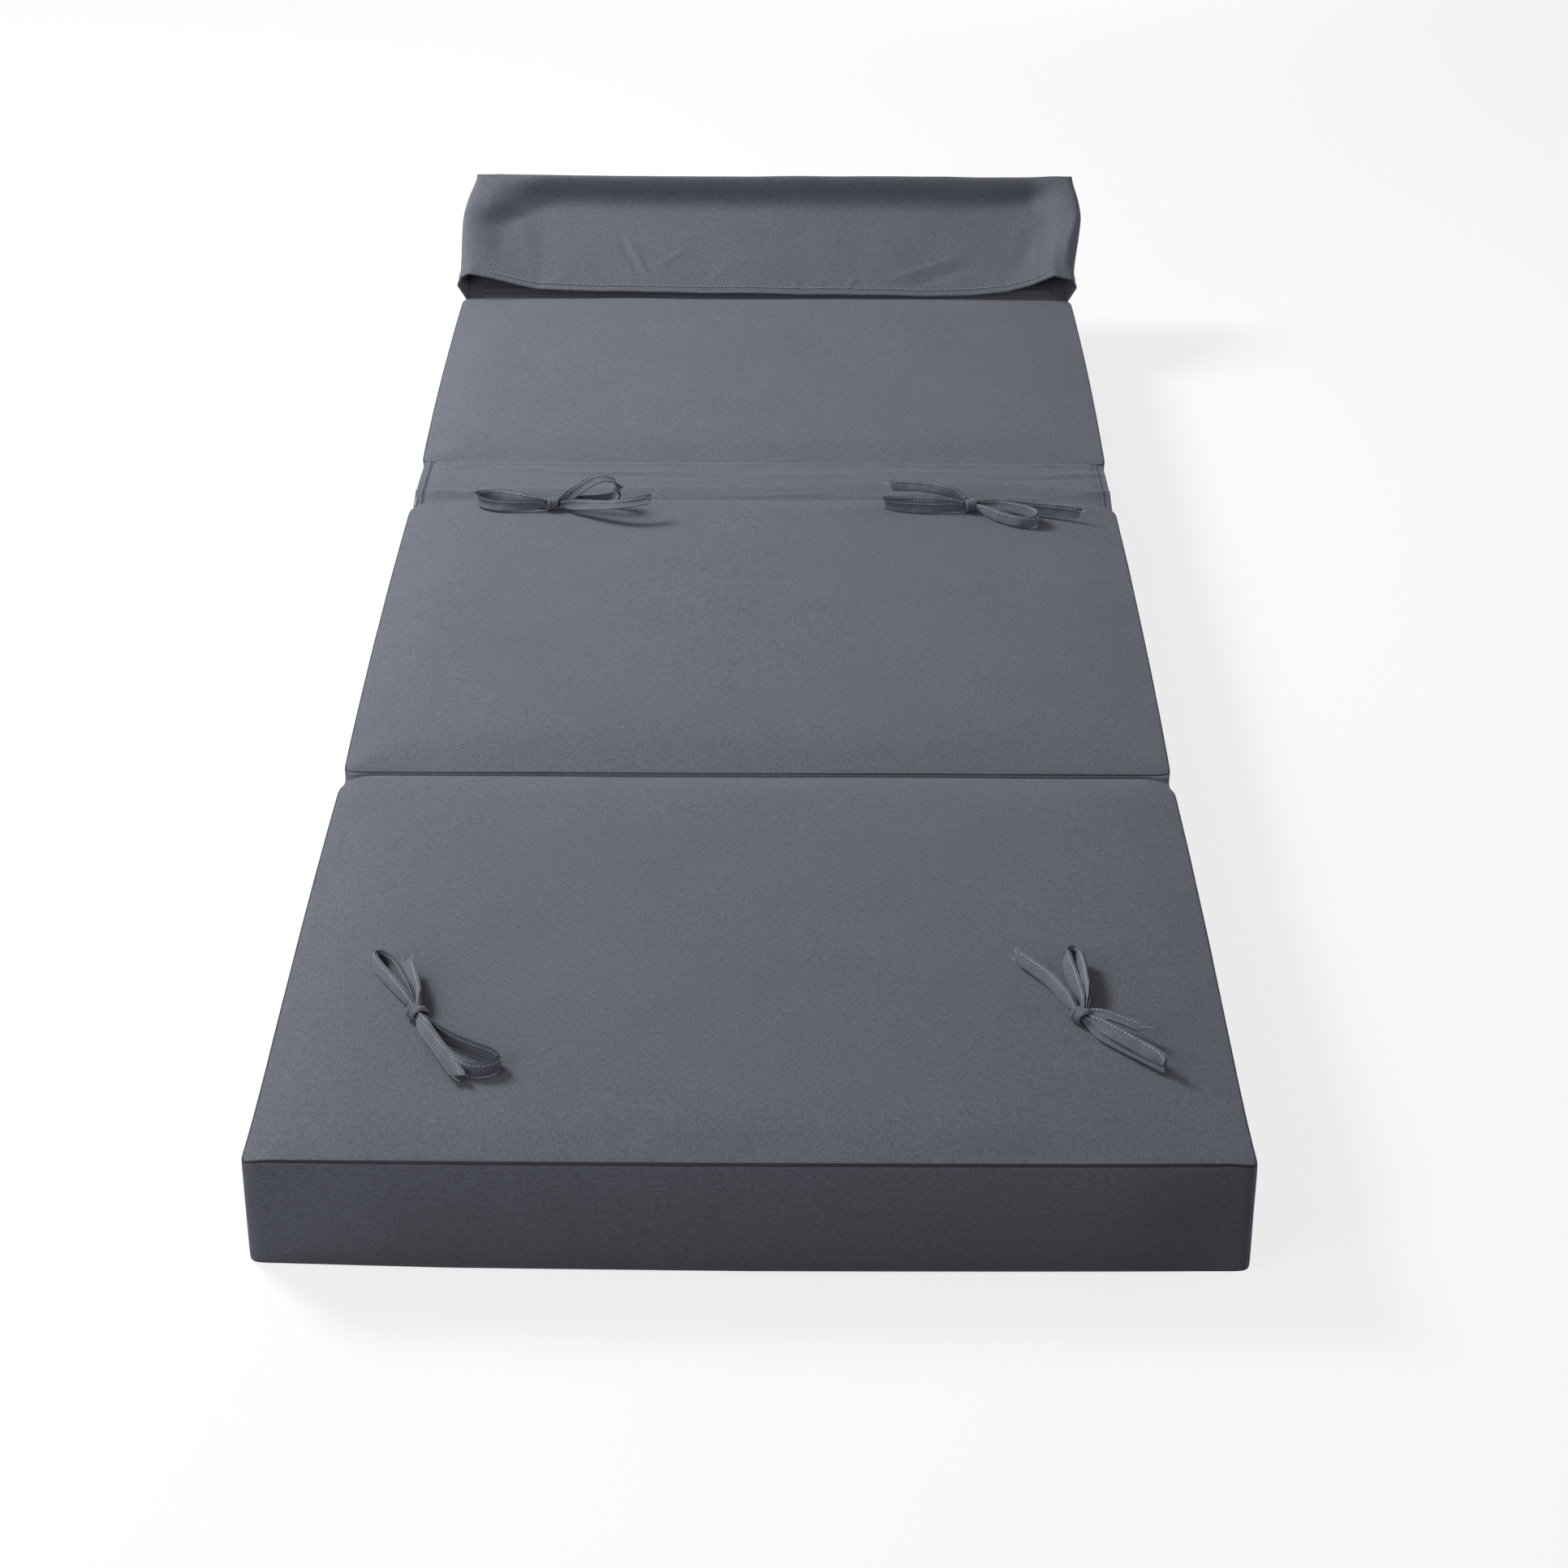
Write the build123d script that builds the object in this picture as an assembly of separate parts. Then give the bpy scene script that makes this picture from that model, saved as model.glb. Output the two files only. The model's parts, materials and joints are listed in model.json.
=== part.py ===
from build123d import *
import math
import os

# A fold-out chair-bed mattress, lying open with its tie side up.
# Three foam panels in zipped cloth covers lie in a row along Y. A narrow tape joins the front and
# middle panels, a wide strip joins the middle and back panels, and an open hood at the far end
# slips over the top of a backrest. Flat tapes tied in bows hold the panels to a slatted frame.
# Millimetres, +Z up, +Y from the front panel to the hood, origin on the floor under the middle.

# Panels
panel_width = 800.0
panel_thickness = 100.0
front_length = 620.0
middle_length = 620.0
back_length = 530.0
corner_radius = 16.0  # upright corners of a panel
cloth = 1.2  # thickness of the cover cloth
ease = 0.3  # room between pieces that lie against each other

# Joining cloth between the panels
fold_gap = 12.0  # groove that the narrow tape closes
bridge_slack = 18.0  # the wide strip spans the panel's thickness and this much more
strip_inset = 3.0  # the joining cloth stops this far inside the panel's sides
strip_hem = 16.0  # turned-over ends of the wide strip
hinge_ease = 0.9  # room at the wide strip's far edge, where the back panel turns

# Hood, measured before it is tilted up about the back panel's far top edge
hood_overhang = 8.0  # how far each side stands out past the panel
hood_depth = 182.0
hood_mouth_height = 29.0
hood_mouth_setback = 15.0  # the upper sheet's edge lies this far in from the hinge
hood_end_height = 38.0
hood_hem = 14.0
hood_tilt = 29.0  # degrees

# Zips, on each panel's right-hand wall
zip_end_margin = 60.0  # wall left at each end of the zip
zip_tape_width = 26.0
zip_split = 0.4  # slit between the two tapes, under the coil
coil_width = 4.0
coil_height = 1.2
stop_length = 4.0
stop_height = 1.8
slider_length = 9.0
slider_wall = 1.2
slider_clearance = 0.3
bail_width = 1.6
bail_wall = 1.2
pull_thickness = 1.2
pull_width = 6.0
pull_length = 26.0
pull_arm = 1.4  # each side of the pull's eye

# Ties
tie_width = 16.0
tie_thickness = 1.6
tie_loop_radius = 11.0
knot_size = 18.0
tack_thickness = 0.8
tack_size = 14.0
front_tie_inset = 119.0  # from the panel's sides
front_tie_setback = 198.0  # from the front panel's front wall
middle_tie_inset = 165.0
middle_tie_setback = 26.0  # from the middle panel's far wall
tie_reach = 100.0

# How each bow lies: its loops and its tails, each as degrees from +X and a share of the tie's reach
bow_lays = {
    "front_left": ([(117, 0.96), (-42, 1.06)], [(102, 0.82), (-64, 1.06)]),
    "front_right": ([(92, 1.08), (-52, 0.94)], [(115, 1.12), (-31, 0.52)]),
    "middle_left": ([(170, 0.9), (8, 0.66)], [(-4, 1.1), (183, 0.7)]),
    "middle_right": ([(173, 0.94), (-20, 0.78)], [(176, 0.88), (-12, 1.24)]),
}

# Worked out from the sizes above
half_width = panel_width / 2
bridge_length = panel_thickness + bridge_slack
hood_half_width = half_width + hood_overhang
hood_reach = hood_depth * math.cos(math.radians(hood_tilt))
panel_row = front_length + fold_gap + middle_length + bridge_length + back_length
front_y = -(panel_row + ease + hood_reach) / 2
middle_y = front_y + front_length + fold_gap
bridge_y = middle_y + middle_length
back_y = bridge_y + bridge_length
hood_y = back_y + back_length + ease


def save(name, shape):
    export_step(shape, f"parts/{name}.step")


def block(x, y, z):
    """A box between the low and high values given for each axis."""
    return Box(x[1] - x[0], y[1] - y[0], z[1] - z[0], align=Align.MIN).moved(Location((x[0], y[0], z[0])))


def cushion_slab(y_low, length, inset, z_low, z_high):
    """A round-cornered slab with a panel's outline, drawn in by the inset."""
    outline = RectangleRounded(panel_width - 2 * inset, length - 2 * inset, corner_radius - inset)
    return Pos(0, y_low + length / 2, z_low) * extrude(outline, z_high - z_low)


def cover_and_core(name, y_low, length):
    """The foam core and the three cloth pieces sewn round it."""
    core_inset = cloth + ease
    wall_top = panel_thickness - cloth
    core_top = panel_thickness - core_inset
    save(name + "_foam_core", cushion_slab(y_low, length, core_inset, core_inset, core_top))
    save(name + "_tie_face", cushion_slab(y_low, length, 0, wall_top, panel_thickness))
    save(name + "_sleep_face", cushion_slab(y_low, length, 0, 0, cloth))
    wall = cushion_slab(y_low, length, 0, cloth, wall_top)
    wall -= cushion_slab(y_low, length, cloth, cloth, wall_top)
    window_y = (y_low + zip_end_margin, y_low + length - zip_end_margin)
    window_z = (panel_thickness / 2 - zip_tape_width / 2, panel_thickness / 2 + zip_tape_width / 2)
    save(name + "_boxing", wall - block((half_width - 2 * cloth, half_width + cloth), window_y, window_z))


def zip_track(name, y_low, length):
    """Tapes that close the wall's window, the coil on their outer side and a stop at each end."""
    middle_z = panel_thickness / 2
    tape_y = (y_low + zip_end_margin + ease, y_low + length - zip_end_margin - ease)
    tape_x = (half_width - cloth, half_width)
    edge = zip_tape_width / 2 - ease
    upper = block(tape_x, tape_y, (middle_z + zip_split / 2, middle_z + edge))
    lower = block(tape_x, tape_y, (middle_z - edge, middle_z - zip_split / 2))
    save(name + "_zip_tapes", Compound(children=[upper, lower]))
    coil_y = (tape_y[0] + stop_length, tape_y[1] - stop_length)
    coil_z = (middle_z - coil_width / 2, middle_z + coil_width / 2)
    coil = block((half_width, half_width + coil_height), coil_y, coil_z)
    save(name + "_zip_coil", fillet(coil.edges().filter_by(Axis.Y).group_by(Axis.X)[-1], coil_height / 2))
    stop_x = (half_width, half_width + stop_height)
    stops = [block(stop_x, y, coil_z) for y in ((tape_y[0], coil_y[0]), (coil_y[1], tape_y[1]))]
    save(name + "_zip_stops", Compound(children=stops))
    return coil_y[0]


def zip_slider(name, coil_start):
    """A channel over the coil, at its near end, with the bail that holds the pull."""
    middle_z = panel_thickness / 2
    middle_y = coil_start + ease + slider_length / 2
    y = (middle_y - slider_length / 2, middle_y + slider_length / 2)
    channel_half = coil_width / 2 + slider_clearance
    channel_top = half_width + coil_height + slider_clearance
    top = channel_top + slider_wall
    half = channel_half + slider_wall
    body = block((half_width + slider_clearance, top), y, (middle_z - half, middle_z + half))
    body -= block((half_width, channel_top), y, (middle_z - channel_half, middle_z + channel_half))
    pivot_x = top + pull_thickness
    bail_z = (middle_z - bail_width / 2, middle_z + bail_width / 2)
    eye_top = pivot_x + pull_thickness
    bail = block((top, eye_top + bail_wall), y, bail_z)
    bail -= block((top, eye_top), (y[0] + bail_wall, y[1] - bail_wall), bail_z)
    save(name + "_zip_slider", body + bail)
    zip_pull(name, pivot_x, middle_y, middle_z)


def zip_pull(name, pivot_x, pivot_y, pivot_z):
    """A flat tab whose end bar turns under the bail."""
    eye_length = slider_length / 2 + 2 * slider_clearance
    tab_width = max(pull_width, bail_width + 2 * (pull_arm + slider_clearance))
    near = pivot_y - pull_thickness / 2
    x = (pivot_x - pull_thickness / 2, pivot_x + pull_thickness / 2)
    tab = block(x, (near, near + pull_length), (pivot_z - tab_width / 2, pivot_z + tab_width / 2))
    tab = fillet(tab.edges().filter_by(Axis.X).group_by(Axis.Y)[-1], tab_width / 3)
    eye_half = tab_width / 2 - pull_arm
    eye_y = (pivot_y + pull_thickness / 2, pivot_y + pull_thickness / 2 + eye_length)
    save(name + "_zip_pull", tab - block(x, eye_y, (pivot_z - eye_half, pivot_z + eye_half)))


def joining_cloth():
    """The narrow fold tape and the wide bridge strip with its turned-over ends."""
    z = (panel_thickness - cloth, panel_thickness)
    half = half_width - strip_inset
    save("fold_tape", block((-half, half), (middle_y - fold_gap + ease, middle_y - ease), z))
    strip_y = (bridge_y + ease, back_y - hinge_ease)
    strip = block((-half, half), strip_y, z)
    hem_z = (panel_thickness, panel_thickness + cloth)
    for x in ((-half, -half + strip_hem), (half - strip_hem, half)):
        strip += block(x, strip_y, hem_z)
    save("bridge_strip", strip)


def hood_prism(outline, x_low, x_high):
    """A prism with an outline in the hood's own depth and height, tilted into place."""
    face = make_face(Plane.YZ * Polyline(*outline, close=True))
    prism = Pos(x_low, 0, 0) * extrude(face, x_high - x_low, dir=(1, 0, 0))
    return Pos(0, hood_y, panel_thickness) * Rot(hood_tilt, 0, 0) * prism


def hood():
    """An open cap: lower and upper sheets, a gusset at each side and one across the far end."""
    half = hood_half_width
    far = hood_depth - cloth - ease
    mouth, top = hood_mouth_height, hood_end_height
    slope = (top - mouth) / (hood_depth - hood_mouth_setback)
    hem_end = hood_mouth_setback + hood_hem
    hem_height = mouth + slope * hood_hem
    under = cloth + ease
    save("hood_lower", hood_prism([(0, 0), (hood_depth, 0), (hood_depth, cloth), (0, cloth)], -half, half))
    upper = [
        (hood_mouth_setback, mouth),
        (hood_depth, top),
        (hood_depth, top - cloth),
        (hem_end, hem_height - cloth),
        (hem_end, hem_height - 2 * cloth),
        (hood_mouth_setback, mouth - 2 * cloth),
    ]
    save("hood_upper", hood_prism(upper, -half, half))
    far_height = top - slope * (cloth + ease) - under
    gusset = [
        (under, under),
        (far, under),
        (far, far_height),
        (hem_end, hem_height - 2 * cloth - ease),
        (hood_mouth_setback, mouth - 2 * cloth - ease),
    ]
    save("hood_gusset_left", hood_prism(gusset, -half, -half + cloth))
    save("hood_gusset_right", hood_prism(gusset, half - cloth, half))
    end = [
        (hood_depth - cloth, under),
        (hood_depth, under),
        (hood_depth, far_height),
        (hood_depth - cloth, far_height),
    ]
    save("hood_end", hood_prism(end, -half, half))


def tie_loop(reach):
    """Outline of a loop of tape standing on its edge, pointing along +X."""
    tip = Pos(reach - tie_loop_radius, 0) * Circle(tie_loop_radius)
    root = Circle(2 * tie_thickness)
    outer = make_hull(tip.edges() + root.edges())
    return outer - offset(outer, -tie_thickness)


def tie_tail(reach):
    """Outline of a loose end of tape standing on its edge, pointing along +X."""
    return Rectangle(reach, tie_thickness, align=(Align.MIN, Align.CENTER))


def bow(name, x, y):
    """One tie: its knot, two loops and two tails, all on edge on the tack that holds it."""
    loops, tails = bow_lays[name]
    outline = RectangleRounded(knot_size, knot_size, knot_size / 4)
    for angle, reach in loops:
        outline += Rot(0, 0, angle) * tie_loop(reach * tie_reach)
    for angle, reach in tails:
        outline += Rot(0, 0, angle) * tie_tail(reach * tie_reach)
    save("tie_" + name, Pos(x, y, panel_thickness + tack_thickness) * extrude(outline, tie_width))


def tie_pair(panel, inset, y):
    """The left and right bows of one panel, and the sewn tacks under their knots."""
    tacks = []
    for side, x in (("left", inset - half_width), ("right", half_width - inset)):
        bow(f"{panel}_{side}", x, y)
        tack_z = panel_thickness + tack_thickness / 2
        tacks.append(Pos(x, y, tack_z) * Box(tack_size, tack_size, tack_thickness))
    save(f"tie_tacks_{panel}", Compound(children=tacks))


os.makedirs("parts", exist_ok=True)
for panel_name, panel_y, panel_length in (
    ("front", front_y, front_length),
    ("middle", middle_y, middle_length),
    ("back", back_y, back_length),
):
    cover_and_core(panel_name, panel_y, panel_length)
    zip_slider(panel_name, zip_track(panel_name, panel_y, panel_length))
joining_cloth()
hood()
tie_pair("front", front_tie_inset, front_y + front_tie_setback)
tie_pair("middle", middle_tie_inset, middle_y + middle_length - middle_tie_setback)
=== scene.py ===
"""Three-panel futon mattress with a cloth hood and four tie bows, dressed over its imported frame."""

import json
import math

import bpy
import numpy as np
from mathutils import Matrix, Vector, noise


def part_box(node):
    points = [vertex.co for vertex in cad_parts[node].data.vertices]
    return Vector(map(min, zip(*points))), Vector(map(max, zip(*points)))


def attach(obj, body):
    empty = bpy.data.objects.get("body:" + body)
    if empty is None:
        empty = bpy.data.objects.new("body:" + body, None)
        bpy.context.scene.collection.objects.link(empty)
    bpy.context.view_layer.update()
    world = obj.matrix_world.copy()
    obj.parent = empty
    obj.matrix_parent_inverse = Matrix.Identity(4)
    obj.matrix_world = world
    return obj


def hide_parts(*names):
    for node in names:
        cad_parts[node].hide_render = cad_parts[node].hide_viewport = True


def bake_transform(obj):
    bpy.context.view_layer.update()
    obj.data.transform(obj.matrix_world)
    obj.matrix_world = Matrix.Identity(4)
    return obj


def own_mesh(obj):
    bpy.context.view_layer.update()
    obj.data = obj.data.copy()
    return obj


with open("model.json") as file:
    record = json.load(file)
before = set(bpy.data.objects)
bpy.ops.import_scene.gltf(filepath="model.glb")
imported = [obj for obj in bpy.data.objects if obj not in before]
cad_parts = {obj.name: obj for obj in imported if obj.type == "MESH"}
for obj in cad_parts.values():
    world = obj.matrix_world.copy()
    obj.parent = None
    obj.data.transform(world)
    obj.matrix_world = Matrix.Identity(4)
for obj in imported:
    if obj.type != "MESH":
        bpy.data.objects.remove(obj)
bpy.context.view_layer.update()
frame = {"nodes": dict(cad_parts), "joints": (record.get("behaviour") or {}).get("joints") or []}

MM = 0.001
TINY = 1e-6

# Places read from the frame
TIE_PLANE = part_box("middle_tie_face")[1].z

# Pads
PAD_CELL = 8 * MM
NEAR_CORNER = 9 * MM
FAR_CORNER = {"front": 26 * MM, "middle": 20 * MM, "back": 6 * MM}
CROWN = {"front": 5.3 * MM, "middle": 5.6 * MM, "back": 3.6 * MM}
SIDE_BULGE = 3.5 * MM
END_BULGE = 4.2 * MM
CORNER_FADE = 120 * MM
NEAR_DROP, FAR_DROP, SIDE_DROP = 5 * MM, 1.5 * MM, 4.5 * MM
FAR_LIFT, FAR_LIFT_ROLL = 4.5 * MM, 24 * MM
NEAR_ROLL, SIDE_ROLL = 13 * MM, 14 * MM
FAR_ROLL = {"front": 6 * MM, "middle": 6 * MM, "back": 12 * MM}
SIDE_BOW = 2.5 * MM
FRONT_BOW = 2 * MM
FRONT_FLARE = 4 * MM
FRONT_ROLL = 12 * MM
FRONT_APRON = 36 * MM
FRONT_DROP = 1.2 * MM
FRONT_BASE = 11 * MM
# How far the back pad's end walls draw in, for the strip and the hood that fold against them
BACK_NEAR_TUCK, BACK_FAR_TUCK = 7 * MM, 2 * MM
BACK_TUCK_FROM, BACK_TUCK_TO = 84 * MM, 95 * MM
# How far from a panel's end its wall's own shape fades out, and how far the front corners' flare reaches
END_REACH, FLARE_REACH = 40 * MM, 70 * MM
# Across the front wall, from -1 at its left to 1 at its right: how much of its spread the foot has there
FOOT_PLACES = (-1.0, -0.6, 0.0, 1.0)
FOOT_SHARES = (0.4, 0.8, 1.0, 0.95)
SEAM_WIDTH = 0.7 * MM
SEAM_DEPTH = 0.9 * MM
# Unevenness of the cover: its height, and its size from crest to crest
SEAM_WAVE, SEAM_WAVE_SIZE = 0.9 * MM, 130 * MM
PUCKER, PUCKER_SIZE = 1.5 * MM, 38 * MM
SLACK, SLACK_SIZE = 0.8 * MM, 190 * MM
RIPPLE, RIPPLE_SIZE = 0.8 * MM, 70 * MM
PUCKER_REACH, SEAM_HOLD, SLACK_INSET = 26 * MM, 5 * MM, 90 * MM
# A small dent in the front panel: how far left of the middle, in from the near edge, wide and deep
DENT_LEFT, DENT_IN, DENT_WIDTH, DENT_DEPTH = 97 * MM, 32 * MM, 9 * MM, 1.8 * MM
FILL_PRESSURE = 4.0
FILL_FRAMES = 10
ZIP_BAND = 15 * MM
ZIP_CALM = 24 * MM
ZIP_MARGIN = 52 * MM
ZIP_PRESSED_MARGIN = 18 * MM
ZIP_RECESS = 1.4 * MM
TOOTH_PITCH = 1.7 * MM
TOOTH_SIZE = (0.62 * MM, 2.0 * MM, 0.6 * MM)
CORD_HALF, CORD_DEEP = 0.7 * MM, 0.5 * MM
ZIP_ROW_PAST, ZIP_ROW_LIFT = 4 * MM, 0.4 * MM
# Where rays that look for a pad's cloth start, to its right and above it
RAY_SIDE, RAY_TOP = 0.6, 0.3

# Cloth sheets
CLOTH = 1.2 * MM
THIN_CLOTH = 0.8 * CLOTH
BRIDGE_HEM = 11 * MM
BRIDGE_NEAR_TUCK, BRIDGE_FAR_TUCK = 1.5 * MM, 3.5 * MM
HEM_RADIUS = 1.6 * MM
STITCH_PITCH = 4.4 * MM
STITCH_SIZE = (1.6 * MM, 0.45 * MM, 0.45 * MM)
UP = (0.0, 0.0, 1.0)

# Tie tapes
TAPE_WIDTH = 12.5 * MM
TAPE_LAYER = 0.7 * MM
TAPE_CELL = 2.5 * MM
TAPE_PITCH = 3.8 * MM
KNOT_HEIGHT = 7.4 * MM
KNOT_TAPE = 60 * MM
KNOT_SQUEEZE, SQUEEZE_REACH = 0.45, 22 * MM
# The wraps of a knot: width, radius, shift along the bow, and turn in degrees past the bow's own
WRAPS = ((10 * MM, 7.2 * MM, 1.5 * MM, 0), (7 * MM, 6.6 * MM, -4.5 * MM, 24))
# How much a wrap narrows to its ends, is pressed flat and sways to and fro
WRAP_NARROW, WRAP_FLAT, WRAP_SWAY = 0.16, 0.92, 1.6 * MM
FILLING_RADIUS, FILLING_WAVE, FILLING_WAVE_SIZE = 6 * MM, 0.12, 4 * MM
# How far a tape's layer is off its middle, and how much further at its open edge, in mm
LAYER_OFF, LAYER_OPEN = 0.5, 0.5
# A tape's cup and how much it changes, in mm, and its creases, with their sizes from crest to crest
CUP, CUP_CHANGE, CUP_SIZE = 1.1, 0.9, 30 * MM
CREASE, CREASE_SIZE = 0.7 * MM, 11 * MM
# Stitches along a tape: how far in from its edge, out from its middle and short of its ends
TAPE_ROW_IN, TAPE_ROW_OUT, TAPE_ROW_SHORT = 2.6 * MM, 1.25 * MM, 4 * MM
# A tape's cut end: how far it slants, over what length, and how far its two layers are apart
CUT_SLANT, CUT_RUN, CUT_STEP = 2.5 * MM, 12 * MM, 1.2 * MM


# Hand tools

def pick(*pieces):
    """Selects only these pieces and makes the first one active."""
    bpy.ops.object.select_all(action="DESELECT")
    for piece in pieces:
        piece.select_set(True)
    bpy.context.view_layer.objects.active = pieces[0]


def primitive(name, operator, **settings):
    """Adds a primitive with nothing else selected, and settles its place and size in its mesh."""
    bpy.ops.object.select_all(action="DESELECT")
    operator(**settings)
    bpy.ops.object.transform_apply(location=True, rotation=True, scale=True)
    piece = bpy.context.object
    piece.name = piece.data.name = name
    return piece


def points_of(piece):
    """Every vertex of a piece, as rows of x, y, z."""
    flat = np.empty(len(piece.data.vertices) * 3)
    piece.data.vertices.foreach_get("co", flat)
    return flat.reshape(-1, 3)


def place_points(piece, points):
    """Moves every vertex of a piece to the given rows."""
    piece.data.vertices.foreach_set("co", np.ascontiguousarray(points, dtype=np.float64).ravel())
    piece.data.update()


def edges_of(piece):
    """Every edge of a piece, as rows of two vertex numbers."""
    flat = np.empty(len(piece.data.edges) * 2, dtype=np.int32)
    piece.data.edges.foreach_get("vertices", flat)
    return flat.reshape(-1, 2)


def mark(piece, kind, wanted):
    """Opens a piece in edit mode with only the wanted vertices, edges or faces selected."""
    pick(piece)
    bpy.ops.object.mode_set(mode="EDIT")
    bpy.ops.mesh.select_mode(type=kind)
    bpy.ops.mesh.select_all(action="DESELECT")
    bpy.ops.object.mode_set(mode="OBJECT")
    items = {"VERT": piece.data.vertices, "EDGE": piece.data.edges, "FACE": piece.data.polygons}[kind]
    items.foreach_set("select", np.asarray(wanted, dtype=bool))
    bpy.ops.object.mode_set(mode="EDIT")


def done():
    """Leaves edit mode."""
    bpy.ops.object.mode_set(mode="OBJECT")


def block(name, low, high):
    """A box between two corners, as the start of a piece."""
    low, high = Vector(low), Vector(high)
    return primitive(name, bpy.ops.mesh.primitive_cube_add, size=1, location=(low + high) / 2,
                     scale=high - low)


def divide(piece, axis, count):
    """Cuts every edge that runs along an axis into a number of equal lengths, an even number past 100."""
    for parts in [count] if count <= 100 else [count // 2, 2]:
        points, edges = points_of(piece), edges_of(piece)
        along = np.abs(points[edges[:, 1]] - points[edges[:, 0]])
        mark(piece, "EDGE", along[:, axis] > 0.9 * along.sum(axis=1))
        bpy.ops.mesh.subdivide(number_cuts=parts - 1)
        done()


def flat_sheet(name, low, high, along, across):
    """A flat rectangle between two corners of one height, divided along x and y, as the start of a sheet."""
    low, high = Vector(low), Vector(high)
    bpy.ops.object.select_all(action="DESELECT")
    bpy.ops.mesh.primitive_plane_add(size=1, location=(low + high) / 2)
    piece = bpy.context.object
    piece.scale = (high.x - low.x, high.y - low.y, 1)
    bpy.ops.object.transform_apply(location=True, rotation=True, scale=True)
    piece.name = piece.data.name = name
    divide(piece, 0, along)
    divide(piece, 1, across)
    return piece


def delete_faces(piece, test):
    """Deletes the faces whose middle passes the test."""
    mark(piece, "FACE", [bool(test(face.center)) for face in piece.data.polygons])
    bpy.ops.mesh.delete(type="FACE")
    done()


def apply_modifier(piece, kind, **settings):
    """Adds a modifier with its settings and applies it."""
    pick(piece)
    modifier = piece.modifiers.new(kind.title(), kind)
    for name, value in settings.items():
        setattr(modifier, name, value)
    bpy.ops.object.modifier_apply(modifier=modifier.name)


def thicken(piece, thickness, offset=0.0):
    """Gives a sheet its thickness."""
    apply_modifier(piece, "SOLIDIFY", thickness=thickness, offset=offset, use_even_offset=True)


def soften(piece, levels=1):
    """Rounds a piece with subdivision."""
    apply_modifier(piece, "SUBSURF", levels=levels, render_levels=levels)


def join(*pieces):
    """Joins pieces into the first one."""
    pick(*pieces)
    bpy.ops.object.join()
    return pieces[0]


def smooth(piece, angle=50):
    """Shades a piece smooth, apart from its sharp edges."""
    pick(piece)
    bpy.ops.object.shade_smooth_by_angle(angle=math.radians(angle))


def finish(piece, body, slot, material, *nodes):
    """Gives a piece its material and body, and hides the nodes that it stands for; its slot is not used."""
    if material is not None:
        piece.data.materials.clear()
        piece.data.materials.append(material)
    if body:
        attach(piece, body)
    if nodes:
        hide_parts(*nodes)


def step(value, low, high):
    """A smooth step from 0 at low to 1 at high."""
    share = np.clip((value - low) / (high - low), 0.0, 1.0)
    return share * share * (3 - 2 * share)


def bump(value, middle, width):
    """A rounded ridge of height 1 at middle."""
    return np.exp(-(((value - middle) / width) ** 2))


def rows_of(x, y, z):
    """Rows of x, y, z from numbers and arrays of one length."""
    return np.stack(np.broadcast_arrays(x, y, z), axis=1).astype(float)


def unit(rows):
    """The rows at length 1."""
    return rows / np.maximum(np.linalg.norm(rows, axis=1, keepdims=True), TINY)


def turn_by(x, y, degrees):
    """Two coordinates turned about the third axis."""
    c, s = math.cos(math.radians(degrees)), math.sin(math.radians(degrees))
    return x * c - y * s, x * s + y * c


def uneven(points, size, seed):
    """Smooth unevenness from -1 to 1 at each point, about size metres from crest to crest."""
    start = Vector((seed * 3.7, seed * 1.9, seed * 2.3))
    return np.array([noise.noise(Vector(point) / size + start) for point in points])


# Materials

def linear(code):
    """An sRGB hex colour as linear red, green, blue and alpha."""
    shares = [int(code[place:place + 2], 16) / 255 for place in (1, 3, 5)]
    return [s / 12.92 if s <= 0.04045 else ((s + 0.055) / 1.055) ** 2.4 for s in shares] + [1.0]


def add(tree, kind, inputs=(), **settings):
    """Adds a node with its settings; an input is a value, or another node's socket to link."""
    made = tree.nodes.new(kind)
    for name, value in settings.items():
        setattr(made, name, value)
    for name, value in dict(inputs).items():
        if isinstance(value, bpy.types.NodeSocket):
            tree.links.new(value, made.inputs[name])
        else:
            made.inputs[name].default_value = value
    return made


def new_material(name):
    """An empty node material with its output."""
    material = bpy.data.materials.new(name)
    material.use_nodes = True
    material.node_tree.nodes.clear()
    output = material.node_tree.nodes.new("ShaderNodeOutputMaterial")
    return material, material.node_tree, output


# A real slub in the yarn is about 2 mm long and 0.4 mm wide; it is drawn coarser, so that it shows
FLECK_LONG, FLECK_WIDE, FLECK_DEEP = 5.0 * MM, 1.1 * MM, 1.3 * MM
# Slow change of tone over the cloth
CLOUD_SIZE = 90 * MM
# The thread's twist is really about 0.5 mm long and is drawn coarser; a wave of scale 1 repeats each 0.3 m
TWIST = 1.0 * MM
WAVE_REPEAT = 0.3


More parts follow.
